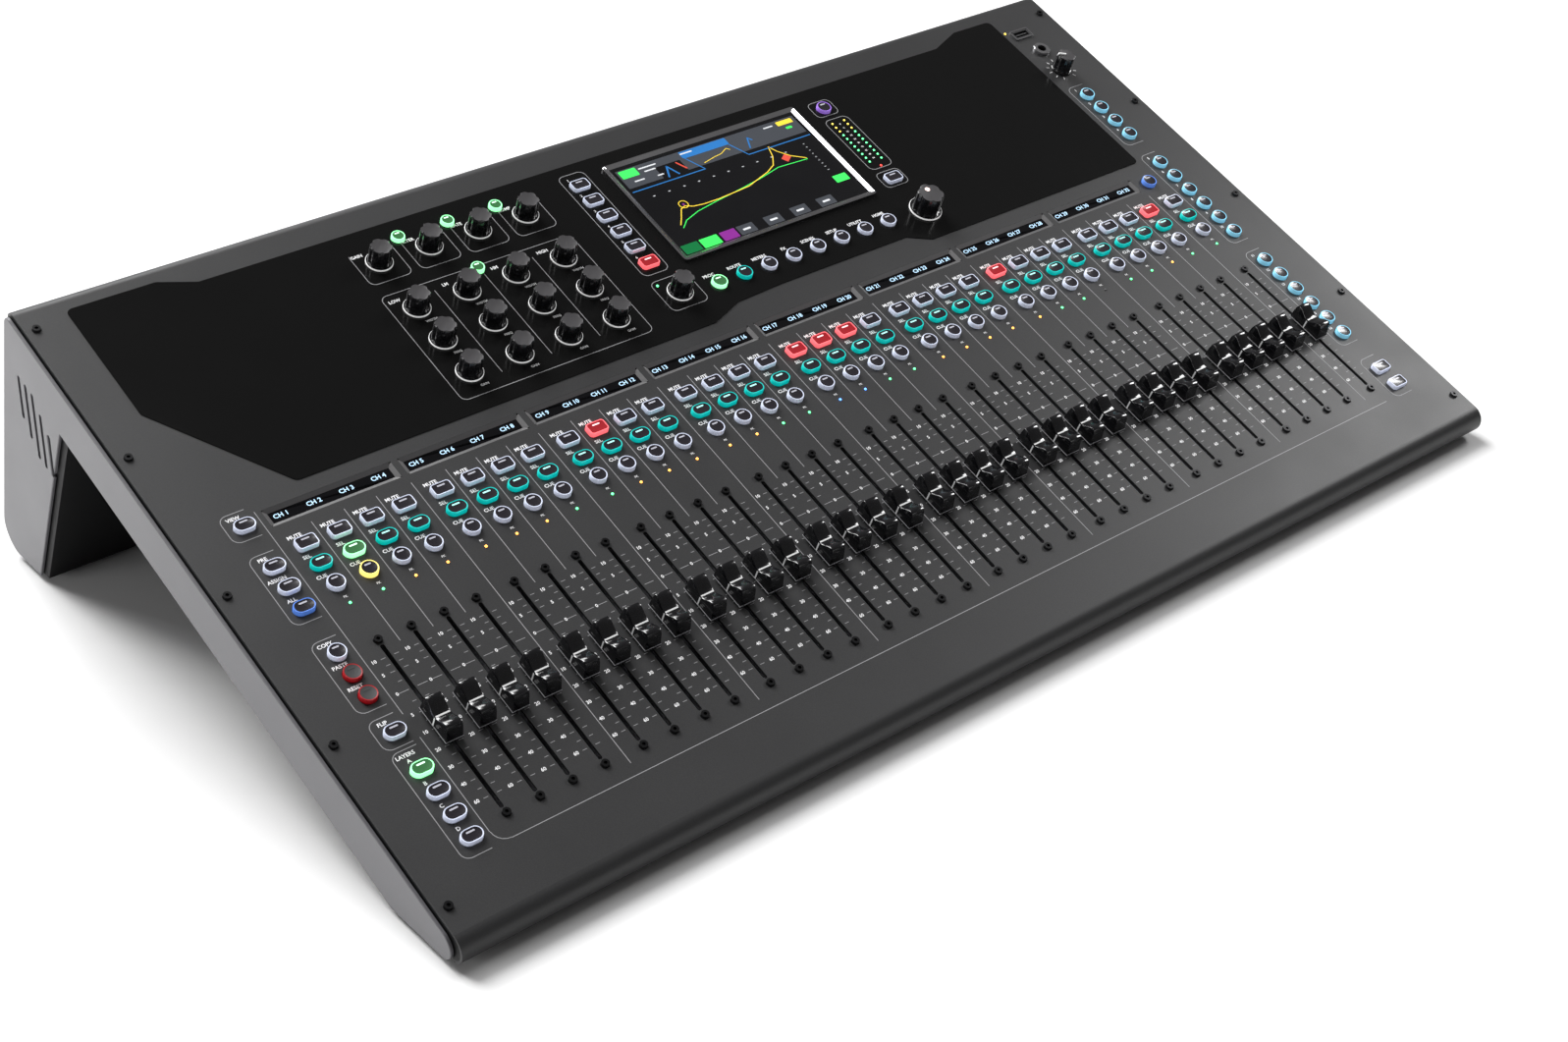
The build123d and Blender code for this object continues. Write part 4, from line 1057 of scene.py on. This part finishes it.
class CONSOLE_OT_lamps(bpy.types.Operator):
    """Place the peak lamps, the level meter and the small status lamps"""

    bl_idname = "console.lamps"
    bl_label = "Lamps"

    def execute(self, context):
        lamps = Piece("indicator_lamps")
        dot = dome_shape(0.85, 0.7)
        bead = dome_shape(0.75, 0.5)
        deck_z, fascia_z = 0.1, FASCIA_TOP + 0.1
        for number, x in enumerate(FADER_X, start=1):
            glow = "lamp_orange"
            if number in GREEN_PEAKS:
                glow = "lamp_green"
            if number in BLUE_PEAKS:
                glow = "lamp_blue"
            if number in DARK_PEAKS:
                glow = "lamp_off"
            lamps.add(dot, on_deck(x, PEAK_Y, deck_z), glow)
        for x in METER_X:
            for step in range(11):
                glow = "lamp_yellow" if step < 3 else "lamp_green"
                lamps.add(bead, on_deck(x, METER_TOP_Y - METER_PITCH * step, fascia_z), glow)
        for step in range(10):
            place = on_deck(
                sum(METER_X) / 2, METER_TOP_Y - 2.0 - METER_PITCH * step, FASCIA_TOP + INK_Z
            )
            lamps.add(lettering(str(step * 6), 1.3), place, "print_ink")
        lamps.add(dot, on_deck(163.4, 184.9, fascia_z), "lamp_red")
        lamps.add(dot, on_deck(346.5, 261.5, deck_z), "lamp_yellow")
        lamps.add(dot, on_deck(PAN_PLACE[0] - 10, PAN_PLACE[1] + 10, fascia_z), "lamp_green")
        lamps.done(BODY, "display_glass")
        return {"FINISHED"}


SOFT_LIGHTS = (
    ("rear_softbox", (-0.3, 2.0, 1.7), (-0.1, 0.2, 0.1), (2.4, 0.8), 38),
    ("right_softbox", (2.7, -0.25, 1.8), (0.35, -0.15, 0), (0.9, 0.9), 43),
    ("left_softbox", (-2.4, 0.3, 0.45), (-0.3, 0.1, 0.1), (1.4, 0.7), 15),
    ("top_softbox", (-0.13, 0.41, 2.2), (0.1, 0.1, 0.15), (0.5, 0.5), 4),
)
HIGH_LIGHT_WAY = (0.06, -0.58, -0.8)
BACKDROP_LIGHT, BACKDROP_SEEN = 0.12, 1.0
CAMERA_PLACE = (-0.802, -0.9943, 0.755)
CAMERA_TURN = (
    (0.7686, 0.3411, -0.5412), (-0.6396, 0.3920, -0.6613), (-0.0134, 0.8543, 0.5195),
)


class CONSOLE_OT_stage(bpy.types.Operator):
    """Set the pale floor, the soft lights and the camera"""

    bl_idname = "console.stage"
    bl_label = "Stage"

    def hang(self, context, light, way, place=(0, 0, 0)):
        """Hang a light at a place, shining along a vector."""
        holder = bpy.data.objects.new(light.name, light)
        holder.location = place
        holder.rotation_mode = "QUATERNION"
        holder.rotation_quaternion = way.to_track_quat("-Z", "Y")
        context.scene.collection.objects.link(holder)

    def execute(self, context):
        bm = bmesh.new()
        bmesh.ops.create_grid(bm, x_segments=1, y_segments=1, size=12.0)
        floor_mesh = bpy.data.meshes.new("floor")
        bm.to_mesh(floor_mesh)
        bm.free()
        floor_mesh.materials.append(
            finish("floor_white", (0.8, 0.8, 0.8), 0.75, mottle=0.01, grain=40.0, relief=0.0)
        )
        floor = bpy.data.objects.new("floor", floor_mesh)
        context.scene.collection.objects.link(floor)

        for name, place, aim, size, power in SOFT_LIGHTS:
            light = bpy.data.lights.new(name, "AREA")
            light.shape = "RECTANGLE"
            light.size, light.size_y = size
            light.energy = power
            self.hang(context, light, Vector(aim) - Vector(place), place)
        high = bpy.data.lights.new("high_light", "SUN")
        high.energy = 3.4
        high.angle = radians(30)
        self.hang(context, high, Vector(HIGH_LIGHT_WAY))

        world = bpy.data.worlds.new("studio")
        world.use_nodes = True
        nodes, links = world.node_tree.nodes, world.node_tree.links
        backdrop = nodes["Background"]
        backdrop.inputs["Color"].default_value = (1.0, 0.98, 0.98, 1.0)
        ray = nodes.new("ShaderNodeLightPath")
        strength = nodes.new("ShaderNodeMapRange")
        strength.inputs["To Min"].default_value = BACKDROP_LIGHT
        strength.inputs["To Max"].default_value = BACKDROP_SEEN
        links.new(ray.outputs["Is Camera Ray"], strength.inputs["Value"])
        links.new(strength.outputs["Result"], backdrop.inputs["Strength"])
        context.scene.world = world
        context.scene.view_settings.view_transform = "Standard"

        camera_data = bpy.data.cameras.new("camera")
        camera_data.sensor_width = 36.0
        camera_data.lens = 53.42
        camera = bpy.data.objects.new("camera", camera_data)
        camera.matrix_world = Matrix.Translation(CAMERA_PLACE) @ Matrix(CAMERA_TURN).to_4x4()
        context.scene.collection.objects.link(camera)
        context.scene.camera = camera
        return {"FINISHED"}


STEPS = (
    CONSOLE_OT_finish_metalwork,
    CONSOLE_OT_fader_caps,
    CONSOLE_OT_knobs,
    CONSOLE_OT_keys,
    CONSOLE_OT_strip_displays,
    CONSOLE_OT_touchscreen,
    CONSOLE_OT_printing,
    CONSOLE_OT_sockets,
    CONSOLE_OT_lamps,
    CONSOLE_OT_stage,
)


class CONSOLE_PT_panel(bpy.types.Panel):
    """Lists the steps that build the console's looks"""

    bl_label = "Mixing Console"
    bl_space_type = "VIEW_3D"
    bl_region_type = "UI"
    bl_category = "Console"

    def draw(self, context):
        for group in (context.scene.console_sizes, context.scene.console_colours):
            for name in group.__annotations__:
                self.layout.prop(group, name)
        for step in STEPS:
            self.layout.operator(step.bl_idname)


CLASSES = (ConsoleSizes, ConsoleColours, *STEPS, CONSOLE_PT_panel)


def register():
    for cls in CLASSES:
        bpy.utils.register_class(cls)
    bpy.types.Scene.console_sizes = bpy.props.PointerProperty(type=ConsoleSizes)
    bpy.types.Scene.console_colours = bpy.props.PointerProperty(type=ConsoleColours)


def unregister():
    del bpy.types.Scene.console_colours
    del bpy.types.Scene.console_sizes
    for cls in reversed(CLASSES):
        bpy.utils.unregister_class(cls)


def main():
    register()
    for step in STEPS:
        group, name = step.bl_idname.split(".")
        getattr(getattr(bpy.ops, group), name)()


if __name__ == "__main__":
    main()
